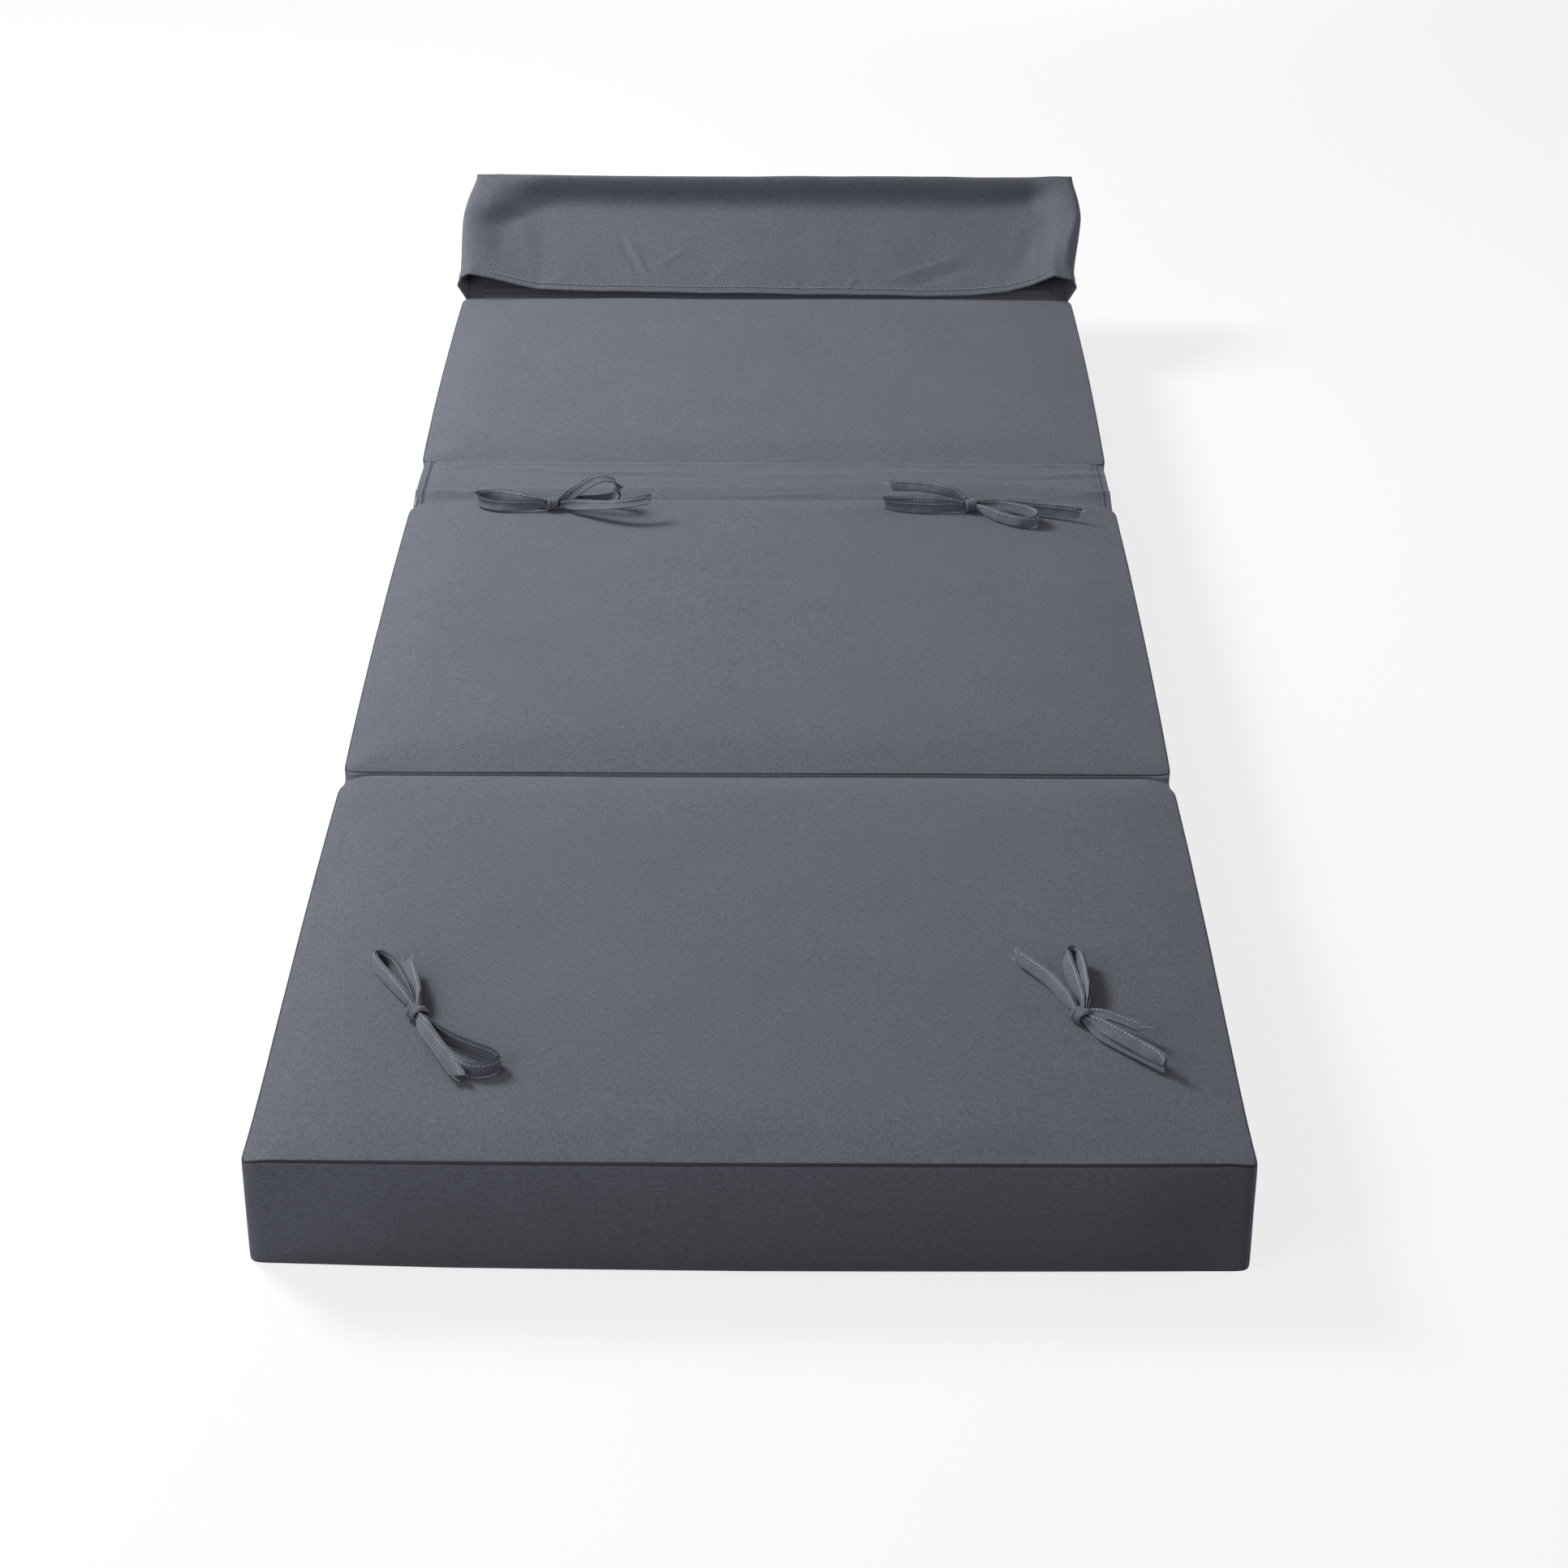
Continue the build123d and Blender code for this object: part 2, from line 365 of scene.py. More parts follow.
def woven_polyester(name, colour, thread, sheen, fleck):
    """Plain-woven polyester: matt, with a fine even thread grid, small lighter and darker flecks from
    uneven yarn, and a faint pale sheen where the cloth turns away."""
    material, tree, output = new_material(name)
    place = add(tree, "ShaderNodeTexCoord").outputs["Object"]
    split = add(tree, "ShaderNodeSeparateXYZ", {0: place})
    waves = []
    for axis in "XYZ":
        turn = add(tree, "ShaderNodeMath", {0: split.outputs[axis], 1: 2 * math.pi / thread},
                   operation="MULTIPLY")
        waves.append(add(tree, "ShaderNodeMath", {0: turn.outputs[0]}, operation="SINE").outputs[0])
    pair = add(tree, "ShaderNodeMath", {0: waves[0], 1: waves[1]}, operation="ADD")
    grid = add(tree, "ShaderNodeMath", {0: pair.outputs[0], 1: waves[2]}, operation="ADD")
    yarns = []
    for weft, warp in ((FLECK_LONG, FLECK_WIDE), (FLECK_WIDE, FLECK_LONG)):
        drawn = add(tree, "ShaderNodeMapping",
                    {"Vector": place, "Scale": (1 / weft, 1 / warp, 1 / FLECK_DEEP)})
        yarn = add(tree, "ShaderNodeTexNoise", {"Vector": drawn.outputs[0], "Scale": 1.0, "Detail": 2.0})
        yarns.append(yarn.outputs["Fac"])
    flecks = add(tree, "ShaderNodeMath", {0: yarns[0], 1: yarns[1]}, operation="ADD")
    clouds = add(tree, "ShaderNodeTexNoise", {"Vector": place, "Scale": 1 / CLOUD_SIZE, "Detail": 2.0})
    tone = add(tree, "ShaderNodeMapRange", {"Value": flecks.outputs[0], "From Min": 0.7, "From Max": 1.3,
                                            "To Min": 1 - fleck, "To Max": 1 + fleck})
    drift = add(tree, "ShaderNodeMapRange", {"Value": clouds.outputs["Fac"], "From Min": 0.3,
                                             "From Max": 0.7, "To Min": 0.97, "To Max": 1.03})
    both = add(tree, "ShaderNodeMath", {0: tone.outputs[0], 1: drift.outputs[0]}, operation="MULTIPLY")
    tint = add(tree, "ShaderNodeVectorMath", {0: linear(colour)[:3], "Scale": both.outputs[0]},
               operation="SCALE")
    rough = add(tree, "ShaderNodeMapRange", {"Value": yarns[0], "To Min": 0.78, "To Max": 0.98})
    height = add(tree, "ShaderNodeMath", {0: grid.outputs[0], 1: 0.16, 2: flecks.outputs[0]},
                 operation="MULTIPLY_ADD")
    relief = add(tree, "ShaderNodeBump", {"Height": height.outputs[0], "Strength": 0.35,
                                          "Distance": 0.25 * MM})
    shader = add(tree, "ShaderNodeBsdfPrincipled", {
        "Base Color": tint.outputs[0], "Roughness": rough.outputs[0], "Normal": relief.outputs[0],
        "Specular IOR Level": 0.25, "Sheen Weight": sheen, "Sheen Roughness": 0.45,
        "Sheen Tint": linear("#C9CDD8"),
    })
    tree.links.new(shader.outputs[0], output.inputs["Surface"])
    return material


def sewing_thread(name, colour):
    """Spun polyester thread: twisted strands with a soft gloss."""
    material, tree, output = new_material(name)
    place = add(tree, "ShaderNodeTexCoord").outputs["Object"]
    twist = add(tree, "ShaderNodeTexWave", {"Vector": place, "Scale": WAVE_REPEAT / TWIST, "Distortion": 1.0},
                bands_direction="DIAGONAL")
    tone = add(tree, "ShaderNodeMapRange", {"Value": twist.outputs["Fac"], "To Min": 0.8, "To Max": 1.15})
    tint = add(tree, "ShaderNodeVectorMath", {0: linear(colour)[:3], "Scale": tone.outputs[0]},
               operation="SCALE")
    relief = add(tree, "ShaderNodeBump", {"Height": twist.outputs["Fac"], "Strength": 0.4,
                                          "Distance": 0.1 * MM})
    rough = add(tree, "ShaderNodeMapRange", {"Value": twist.outputs["Fac"], "To Min": 0.5, "To Max": 0.7})
    shader = add(tree, "ShaderNodeBsdfPrincipled", {
        "Base Color": tint.outputs[0], "Roughness": rough.outputs[0], "Normal": relief.outputs[0],
        "Sheen Weight": 0.1,
    })
    tree.links.new(shader.outputs[0], output.inputs["Surface"])
    return material


def moulded(name, colour, metallic, roughness, grit):
    """A hard finish, such as nylon or painted zinc, with a fine grit that breaks up its gloss."""
    material, tree, output = new_material(name)
    place = add(tree, "ShaderNodeTexCoord").outputs["Object"]
    speck = add(tree, "ShaderNodeTexNoise", {"Vector": place, "Scale": 1 / grit, "Detail": 3.0})
    tone = add(tree, "ShaderNodeMapRange", {"Value": speck.outputs["Fac"], "To Min": 0.85, "To Max": 1.15})
    tint = add(tree, "ShaderNodeVectorMath", {0: linear(colour)[:3], "Scale": tone.outputs[0]},
               operation="SCALE")
    rough = add(tree, "ShaderNodeMapRange", {"Value": speck.outputs["Fac"], "To Min": roughness - 0.08,
                                             "To Max": roughness + 0.08})
    relief = add(tree, "ShaderNodeBump", {"Height": speck.outputs["Fac"], "Strength": 0.15,
                                          "Distance": 0.05 * MM})
    shader = add(tree, "ShaderNodeBsdfPrincipled", {
        "Base Color": tint.outputs[0], "Roughness": rough.outputs[0], "Normal": relief.outputs[0],
        "Metallic": metallic,
    })
    tree.links.new(shader.outputs[0], output.inputs["Surface"])
    return material


# The real thread spacing is about 0.5 mm; 1.9 mm is drawn so that the weave shows in the render
COVER_CLOTH = woven_polyester("woven polyester cover cloth", "#6A6D77", 1.9 * MM, 0.12, 0.26)
# A darker copy of the cover cloth for the faces in the seams' grooves: painted shade
PAINTED_SEAM_SHADE = woven_polyester("woven polyester cover cloth, painted seam shade", "#3A3C43", 1.9 * MM, 0.0, 0.10)
TIE_CLOTH = woven_polyester("woven polyester tie tape", "#6C6F79", 1.6 * MM, 0.12, 0.16)
ZIP_CLOTH = woven_polyester("woven polyester zip tape", "#4A4C54", 1.2 * MM, 0.05, 0.05)
THREAD = sewing_thread("spun polyester thread", "#4B4D55")
PALE_THREAD = sewing_thread("spun polyester thread, worn pale", "#A3A6B0")
BARTACK = sewing_thread("white polyester bartack thread", "#D8D8DA")
COIL = moulded("moulded nylon coil", "#2E2F34", 0.0, 0.45, 0.6 * MM)
ZINC = moulded("painted zinc slider", "#34353A", 0.0, 0.35, 0.4 * MM)


# Pads

def swell(pad, held, limit):
    """Fills the pad as cloth that is sewn along the held points, and limits how far a point moves."""
    rest = points_of(pad)
    sewn = pad.vertex_groups.new(name="sewn")
    sewn.add([int(number) for number in np.flatnonzero(held)], 1.0, "REPLACE")
    pick(pad)
    fill = pad.modifiers.new("Fill", "CLOTH")
    fill.settings.quality = 3
    fill.settings.mass = 0.25
    fill.settings.tension_stiffness = 12
    fill.settings.compression_stiffness = 12
    fill.settings.shear_stiffness = 5
    fill.settings.bending_stiffness = 2
    fill.settings.vertex_group_mass = "sewn"
    fill.settings.use_pressure = True
    fill.settings.uniform_pressure_force = FILL_PRESSURE
    fill.settings.effector_weights.gravity = 0
    fill.collision_settings.use_collision = False
    for number in range(1, FILL_FRAMES + 1):
        bpy.context.scene.frame_set(number)
    bpy.ops.object.modifier_apply(modifier=fill.name)
    bpy.context.scene.frame_set(1)
    pad.vertex_groups.clear()
    moved = points_of(pad) - rest
    far = np.linalg.norm(moved, axis=1)
    share = limit * np.tanh(far / np.maximum(limit, TINY)) / np.maximum(far, TINY)
    place_points(pad, rest + moved * share[:, None])


def sink_seam(pad, sewn):
    """Splits the sewn edges and pulls the line between into the foam, as a seam's stitches do; the
    groove's faces get a darker cloth as painted shade.
    """
    mark(pad, "EDGE", sewn[edges_of(pad)].all(axis=1))
    bpy.ops.mesh.bevel(offset=SEAM_WIDTH / 2, segments=2, affect="EDGES", clamp_overlap=True)
    done()
    faces, corners = pad.data.polygons, np.empty(len(pad.data.loops), dtype=np.int32)
    pad.data.loops.foreach_get("vertex_index", corners)
    sizes, split = np.empty(len(faces), dtype=np.int32), np.empty(len(faces), dtype=bool)
    faces.foreach_get("loop_total", sizes)
    faces.foreach_get("select", split)
    line = np.ones(len(pad.data.vertices), dtype=bool)
    line[corners[~np.repeat(split, sizes)]] = False
    normals = np.empty(len(line) * 3)
    pad.data.vertices.foreach_get("normal", normals)
    points = points_of(pad)
    points[line] -= SEAM_DEPTH * normals.reshape(-1, 3)[line]
    place_points(pad, points)
    # The groove's faces get the darker cloth: painted shade in the seam
    pad.data.materials.append(COVER_CLOTH)
    pad.data.materials.append(PAINTED_SEAM_SHADE)
    faces.foreach_set("material_index", split.astype(np.int32))


def tie_side_fall(name, points, near, far, side):
    """How far a pad's tie side drops towards its seams, and how much of its crown each point has."""
    wave = SEAM_WAVE * uneven(points * np.array([1.0, 0.0, 0.0]), SEAM_WAVE_SIZE, 3.0 + len(name))
    edges = ((near, NEAR_DROP + 0.6 * wave, NEAR_ROLL), (far, FAR_DROP + wave, FAR_ROLL[name]),
             (side, SIDE_DROP, SIDE_ROLL))
    falls = [np.exp(-gap / roll) for gap, depth, roll in edges]
    drops = [depth * fall for (gap, depth, roll), fall in zip(edges, falls)]
    if name == "front":
        falls[0] = (1 - near / FRONT_APRON).clip(0, 1)
        drops[0] = FRONT_DROP * falls[0]
    drop = np.max(drops, axis=0)
    full = np.prod([1 - fall for fall in falls], axis=0)
    if name == "middle":
        drop -= FAR_LIFT * np.exp(-far / FAR_LIFT_ROLL) * step(side, 0.0, CORNER_FADE)
    return drop, full


def round_corners(points, away, half, far_radius):
    """Rounds a pad's four upright corners."""
    radius = np.where(away[:, 1] < 0, NEAR_CORNER, far_radius)
    over = np.abs(away[:, :2]) - (np.array(half)[:2] - radius[:, None])
    at_corner = (over > 0).all(axis=1)
    turned = over * (over.max(axis=1) / np.maximum(np.hypot(*over.T), TINY))[:, None]
    points[at_corner, :2] += (np.sign(away[:, :2]) * (turned - over))[at_corner]


def front_end(points, away, half, near, side, at_zip, end_wall, top):
    """Bows and rolls out the front panel's near end, flares its corners and spreads its foot."""
    across, rise = away[:, 0] / half.x, np.abs(away[:, 2]) / half.z
    points[:, 1] -= FRONT_BOW * (1 - across ** 2) * (1 - step(away[:, 1], -half.y, -0.5 * half.y))
    flare = across ** 5 * np.exp(-near / FLARE_REACH)
    points[:, 0] += FRONT_FLARE * flare * (1 - at_zip * step(near, 10 * MM, END_REACH))
    roll = FRONT_ROLL * (1 - rise ** 2.5).clip(0, 1) ** 0.7 * step(side, 0.0, CORNER_FADE)
    points[:, 1] -= np.where(end_wall & (away[:, 1] < 0), roll, 0.0)
    spread = FRONT_BASE * np.interp(across, FOOT_PLACES, FOOT_SHARES)
    points[:, 1] -= spread * (1 - (points[:, 2] / top).clip(0, 1)) * np.exp(-near / END_REACH)


def loosen(name, points, inset, near_edge, face, side_wall, end_wall):
    """Puckers the cover beside its seams, and lets it roll and ripple a little elsewhere."""
    near_seam = np.exp(-inset / PUCKER_REACH) * (1 - np.exp(-inset / SEAM_HOLD))
    puckers = uneven(points * np.array([0.35, 1.0, 0.0]), PUCKER_SIZE, 1.0 + len(name))
    rolls = uneven(points * np.array([1.0, 1.0, 0.0]), SLACK_SIZE, 5.0 + len(name))
    lift = PUCKER * puckers * near_seam + SLACK * rolls * step(inset, 0.0, SLACK_INSET)
    if name == "front":
        gap = np.hypot(points[:, 0] + DENT_LEFT, points[:, 1] - near_edge - DENT_IN)
        lift -= DENT_DEPTH * bump(gap, 0.0, DENT_WIDTH)
    points[:, 2] += np.where(face, lift, 0.0)
    ripple = RIPPLE * uneven(points * np.array([1.0, 1.0, 0.4]), RIPPLE_SIZE, 9.0 + len(name))
    points[:, 0] += np.where(side_wall, ripple, 0.0)
    points[:, 1] += np.where(end_wall, ripple, 0.0)


def panel_pad(name):
    """One filled panel: a foam slab in a boxed cover, crowned on its tie side, flat on the floor, with a
    sunk seam round its tie face and its sleeping face."""
    low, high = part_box(name + "_sleep_face")[0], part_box(name + "_tie_face")[1]
    pad = block(name + "_pad", low, high)
    middle, half = (low + high) / 2, (high - low) / 2
    for axis in range(3):
        divide(pad, axis, round(half[axis] / PAD_CELL) * 2)
    points = points_of(pad)
    away = points - np.array(middle)
    on_side, on_end = (np.abs(away[:, axis]) > half[axis] - TINY for axis in (0, 1))
    on_top, on_base = away[:, 2] > half.z - TINY, away[:, 2] < TINY - half.z
    top_seam, base_seam = on_top & (on_side | on_end), on_base & (on_side | on_end)
    wall = (on_side | on_end) & ~on_top & ~on_base
    near, far, side = away[:, 1] + half.y, half.y - away[:, 1], half.x - np.abs(away[:, 0])
    drop, full = tie_side_fall(name, points, near, far, side)
    round_corners(points, away, half, FAR_CORNER[name])
    points[:, 2] -= drop * np.where(on_top, 1.0, np.where(wall, (points[:, 2] / high.z) ** 3, 0.0))
    place_points(pad, points)

    zip_face = wall & (away[:, 0] > half.x - TINY) & (np.abs(away[:, 2]) < ZIP_BAND)
    zip_face &= (far > ZIP_MARGIN) & (near > (ZIP_PRESSED_MARGIN if name == "front" else ZIP_MARGIN))
    rise = np.abs(away[:, 2]) / half.z
    bulge = np.where(on_end, END_BULGE * (1 - rise ** 3), SIDE_BULGE * (1 - rise ** 8))
    bulge *= step(np.where(on_end, side, np.minimum(near, far)), 0.0, CORNER_FADE)
    if name == "back":
        bulge[on_end] = 0.0
    limit = np.where(on_top, CROWN[name] * full, np.where(wall, bulge, 0.0))
    swell(pad, top_seam | on_base | zip_face, limit)

    points = points_of(pad)
    points[zip_face, 0] -= ZIP_RECESS
    at_zip = (away[:, 0] > 0) * bump(away[:, 2], 0.0, ZIP_CALM)
    bow = SIDE_BOW * (1 - (away[:, 1] / half.y) ** 2) * (1 - at_zip)
    points[:, 0] += np.sign(away[:, 0]) * bow * step(np.abs(away[:, 0]), 0.6 * half.x, half.x)
    if name == "front":
        front_end(points, away, half, near, side, at_zip, wall & on_end, high.z)
    if name == "back":
        below = 1 - step(points[:, 2], BACK_TUCK_FROM, BACK_TUCK_TO)
        points[:, 1] += below * BACK_NEAR_TUCK * np.exp(-near / END_REACH)
        points[:, 1] -= below * BACK_FAR_TUCK * np.exp(-far / END_REACH)
    inset = np.minimum(side, np.minimum(near, far))
    loosen(name, points, inset, low.y, on_top & ~top_seam, wall & on_side & ~zip_face, wall & on_end)
    place_points(pad, points)
    sink_seam(pad, top_seam | base_seam)
    soften(pad)
    pick(pad)
    bpy.ops.object.shade_smooth()
    finish(pad, name + "_panel", "cover_cloth", None,
           *(name + part for part in ("_foam_core", "_tie_face", "_sleep_face", "_boxing")))
    if name == "front":
        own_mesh(pad)
    return pad


pads = {name: panel_pad(name) for name in ("front", "middle", "back")}


# Stitching

def stitch_row(name, path, up, body, material, pitch=STITCH_PITCH, size=STITCH_SIZE):
    """A row of stitches along a line of points: one small thread, copied along the line."""
    run = np.concatenate([[0.0], np.cumsum(np.linalg.norm(np.diff(path, axis=0), axis=1))])
    spots = np.arange(0.5 * pitch, run[-1], pitch)
    behind, places, ahead = (
        np.stack([np.interp(spots + shift, run, path[:, axis]) for axis in range(3)], axis=1)
        for shift in (-0.5 * MM, 0.0, 0.5 * MM))
    along = unit(ahead - behind)
    across = unit(np.cross(up, along))
    rise = np.cross(along, across)
    stitch = block(name, [-side for side in size], size)
    divide(stitch, 0, 3)
    shape = points_of(stitch)
    at_tip = np.abs(shape[:, 0]) > 0.9 * size[0]
    shape[:, 1:] *= np.where(at_tip, 0.45, 1.0)[:, None]
    shape[:, 2] -= np.where(at_tip, 0.5 * size[2], 0.0)
    faces = np.array([list(face.vertices) for face in stitch.data.polygons])
    frames = np.stack([along, across, rise], axis=1)
    row = places[:, None] + shape @ frames
    copies = faces + len(shape) * np.arange(len(places))[:, None, None]
    mesh = bpy.data.meshes.new(name)
    mesh.from_pydata(row.reshape(-1, 3).tolist(), [], copies.reshape(-1, 4).tolist())
    spare, stitch.data = stitch.data, mesh
    bpy.data.meshes.remove(spare)
    pick(stitch)
    bpy.ops.object.shade_smooth()
    if body:
        finish(stitch, body, "tack_thread", material)
    else:
        stitch.data.materials.append(material)
    return stitch


# Joining cloth

# Along the bridge strip, in metres from its middle: where its pleat lies, as a share of its depth from the
# middle panel
PLEAT_PLACES = (-0.40, -0.30, -0.15, 0.0, 0.12, 0.25, 0.33, 0.40)
PLEAT_SHARES = (0.25, 0.28, 0.33, 0.37, 0.44, 0.48, 0.40, 0.28)
# Slack wrinkles in the strip: place along in metres, share of its depth, turn in degrees, and length, width
# and height in mm
STRIP_WRINKLES = (
    (-0.19, 0.72, 3, 60, 6, 1.8), (-0.12, 0.63, -2, 70, 5, -1.3), (0.05, 0.68, 2, 80, 6, 1.3),
    (0.21, 0.74, -3, 60, 6, 1.2), (-0.365, 0.55, -52, 20, 4, 2.0), (0.362, 0.72, 8, 32, 6, 2.0),
    (0.33, 0.58, 5, 50, 5, -1.5), (-0.355, 0.87, 14, 20, 4, 1.6), (0.16, 0.16, 3, 50, 4, 1.3),
    (0.29, 0.11, -7, 30, 4, 1.7), (0.02, 0.15, 2, 80, 4, 1.3), (-0.27, 0.80, -5, 50, 6, 1.4),
    (0.375, 0.20, 12, 22, 4, 1.6), (-0.33, 0.15, -6, 40, 4, 1.3),
)
# How far the strip lies under the tie plane at the middle panel's seam and at the back panel's
STRIP_NEAR_SINK, STRIP_FAR_SINK = FAR_DROP + 0.6 * MM, NEAR_DROP - 0.4 * MM
# How the strip's ends tuck round the panels' corners: how long the tuck is, how far it goes out and down
CORNER_TUCK_RUN, CORNER_TUCK_OUT, CORNER_TUCK_DOWN = 22 * MM, 9 * MM, 4 * MM
# Divisions of the strip along and across it, and of its hems
STRIP_CELLS, DEPTH_CELLS, HEM_CELLS = 132, 44, 4
# How far a hem and its stitches lie over the strip, and how far in from an edge the stitches run
HEM_LIFT, HEM_ROW_LIFT, HEM_ROW_IN = 0.75 * MM, 1.9 * MM, 2.5 * MM
# The bartack at the strip's left end: its length from the middle panel's seam, its lift and its close pitch
TACK_FROM, TACK_TO, TACK_LIFT, TACK_PITCH = 5 * MM, 13 * MM, 2.0 * MM, 1.2 * MM
# The fold tape: how far it goes under each seam, how deep it lies, its dip and the rise of its far half
TAPE_TUCK, TAPE_SINK, TAPE_DIP, TAPE_RISE = 0.6 * MM, 1.2 * MM, 4 * MM, 3.2 * MM


def bridge_height(points):
    """How far the bridge strip rises and dips: a pleat along it, slack wrinkles, and puckers at its seams."""
    x = points[:, 0]
    low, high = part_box("bridge_strip")
    depth = high.y - low.y
    share = (points[:, 1] - low.y) / depth
    line = points * np.array([1.0, 0.0, 0.0])
    pleat = np.interp(x, PLEAT_PLACES, PLEAT_SHARES) + 0.02 * uneven(line, 90 * MM, 2.0)
    edge = 3.0 + 1.2 * uneven(line, 110 * MM, 4.0)
    lift = (2.0 + edge) * step(share, 0.0, pleat - 0.05) * (1 - step(share, pleat, pleat + 0.03))
    lift += 2.4 * step(share, pleat, pleat + 0.03) * (1 - 0.7 * step(share, pleat + 0.05, 0.95))
    lift += 1.6 * bump(share, 0.965, 0.022) * (1 + 0.8 * uneven(line, 30 * MM, 8.0))
    lift += 0.8 * uneven(line, 36 * MM, 5.0) * bump(share, 0.06, 0.05)
    for place, middle, turn, length, width, height in STRIP_WRINKLES:
        run, across = turn_by(x - place, (share - middle) * depth, -turn)
        lift += height * bump(run, 0.0, length * MM) * bump(across, 0.0, width * MM)
    lift *= MM * np.minimum(1.0, 20 * np.minimum(share, 1 - share).clip(0, 1))
    return lift - STRIP_NEAR_SINK * (1 - share) - STRIP_FAR_SINK * share


def on_strip(points, lift=0.0):
    """Points laid on the strip, with its ends tucked down round the corners of the panels beside it."""
    points = points + rows_of(0.0, 0.0, bridge_height(points) + lift)
    low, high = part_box("bridge_strip")
    share = (points[:, 1] - low.y) / (high.y - low.y)
    at_end = step(np.abs(points[:, 0]), high.x - CORNER_TUCK_RUN, high.x)
    points[:, 1] += CORNER_TUCK_OUT * at_end * (step(share, 0.85, 1.0) - 1 + step(share, 0.0, 0.15))
    points[:, 2] -= CORNER_TUCK_DOWN * at_end * (1 - 0.6 * np.sin(np.pi * share.clip(0, 1)))
    return points


def bridge_strip():
    """The wide slack strip between the middle and back panels, with a folded hem at each end."""
    low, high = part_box("bridge_strip")
    low.z = high.z = TIE_PLANE
    low.y -= BRIDGE_NEAR_TUCK
    high.y += BRIDGE_FAR_TUCK
    strip = flat_sheet("bridge_strip_cloth", low, high, STRIP_CELLS, DEPTH_CELLS)
    place_points(strip, on_strip(points_of(strip)))
    hems, rows = [], []
    for side, place in ((-1, "left"), (1, "right")):
        ends = sorted((side * high.x, side * (high.x - BRIDGE_HEM)))
        hem_low, hem_high = (ends[0], low.y, low.z), (ends[1], high.y, low.z)
        hem = flat_sheet("bridge_hem", hem_low, hem_high, HEM_CELLS, DEPTH_CELLS)
        place_points(hem, on_strip(points_of(hem), HEM_LIFT))
        hems.append(hem)
        y = np.linspace(low.y + 3 * MM, high.y - 3 * MM, 60)
        row = on_strip(rows_of(side * (high.x - BRIDGE_HEM + HEM_ROW_IN), y, low.z), HEM_ROW_LIFT)
        stitches = stitch_row("bridge_hem_stitches_" + place, row, UP, None, THREAD)
        finish(stitches, None, "tack_thread", None)
        rows.append(stitches)
    for piece in [strip] + hems:
        thicken(piece, THIN_CLOTH)
    join(strip, *hems)
    soften(strip)
    smooth(strip, 60)
    finish(strip, None, "cover_cloth", COVER_CLOTH, "bridge_strip")
    for piece in [strip] + rows:
        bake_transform(piece)
    y = np.linspace(low.y + TACK_FROM, low.y + TACK_TO, 9)
    tack = on_strip(rows_of(-high.x + HEM_ROW_IN, y, low.z), TACK_LIFT)
    rows.append(stitch_row("bridge_bartack", tack, UP, "bridge", BARTACK, TACK_PITCH))


def fold_tape():
    """The narrow cloth hinge that dips in the groove between the front and middle panels."""
    low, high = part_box("fold_tape")
    start, end = low.y - TAPE_TUCK, high.y + TAPE_TUCK
    tape = flat_sheet("fold_tape_cloth", (low.x, start, TIE_PLANE), (high.x, end, TIE_PLANE), STRIP_CELLS, 12)
    points = points_of(tape)
    share = (points[:, 1] - start) / (end - start)
    gap = high.x - np.abs(points[:, 0])
    for radius, part in ((FAR_CORNER["front"], share - 1), (NEAR_CORNER, share)):
        over = (radius - gap).clip(0, 0.95 * radius)
        points[:, 1] += part * (radius - np.sqrt(radius ** 2 - over ** 2))
    seam = np.maximum(FAR_DROP + (NEAR_DROP - FAR_DROP) * share, SIDE_DROP * np.exp(-gap / SIDE_ROLL))
    dip = TAPE_DIP * np.sin(np.pi * share).clip(0, 1) ** 0.7 - TAPE_RISE * bump(share, 0.8, 0.12)
    points[:, 2] -= seam + TAPE_SINK + dip
    place_points(tape, points)
    thicken(tape, THIN_CLOTH)
    smooth(tape, 60)
    finish(tape, None, "cover_cloth", COVER_CLOTH, "fold_tape")
    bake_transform(tape)


bridge_strip()
fold_tape()


# Hood

HOOD_ROOT = next(Vector(joint["pos_m"]) for joint in frame["joints"] if joint["name"] == "hood_fold")
HOOD_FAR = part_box("hood_lower")[1]
HOOD_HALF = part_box("hood_upper")[1].x
# Across the hood, from -1 at its left to 1 at its right: how high its slack hem hangs over the root, in mm
HEM_PLACES = (-1.0, -0.975, -0.9, -0.82, -0.74, -0.4, 0.0, 0.5, 0.66, 0.77, 0.85, 0.935, 1.0)
HEM_HEIGHTS = (27, 33, 27, 19, 11, 8, 6, 4.2, 5.4, 10, 19, 33, 27)
# From the hem at 0 to the far edge at 1: how far the upper sheet's middle has gone back from the root and
# up, in mm, and how far it goes at its ends
RISE_PLACES = (0.0, 0.39, 0.74, 0.78, 0.925, 1.0)
RISE_BACK = (-2.0, 60.0, 126.0, 133.0, 134.0, 139.0)
RISE_UP = (0.0, 33.0, 66.0, 70.5, 102.8, 105.5)
RISE_ROUND = 0.045
END_BACK, END_UP = (-2.0, 141.0), 106.0
HOOD_TOP = 118.5
# Where the held-up ends start and are full, as shares of the half width, and how much further in at the top
LEFT_END, RIGHT_END = ((0.86, 0.15), (0.995, 0.045)), ((0.89, 0.06), (0.995, 0.02))
END_ARCH = 0.03
# The upper sheet's slow and quick waves: height, and how often they come across and along it
SLOW_WAVE, SLOW_ACROSS = 2.6 * MM, 2.3
QUICK_WAVE, QUICK_ACROSS, QUICK_ALONG = 1.1 * MM, 7.0, 2.0
# From the hem at 0 to the far edge at 1: how far out the hood's sides stand, in mm
SIDE_PLACES = (0.0, 0.08, 0.16, 0.3, 0.45, 0.62, 0.8, 1.0)
SIDE_LEFT = (401, 402, 403, 404, 408, 411, 407, 397)
SIDE_RIGHT = (401, 400, 400, 402, 408, 413, 408, 397)
HOOD_RUN = 181 * MM
HOOD_SWAY = 9 * MM
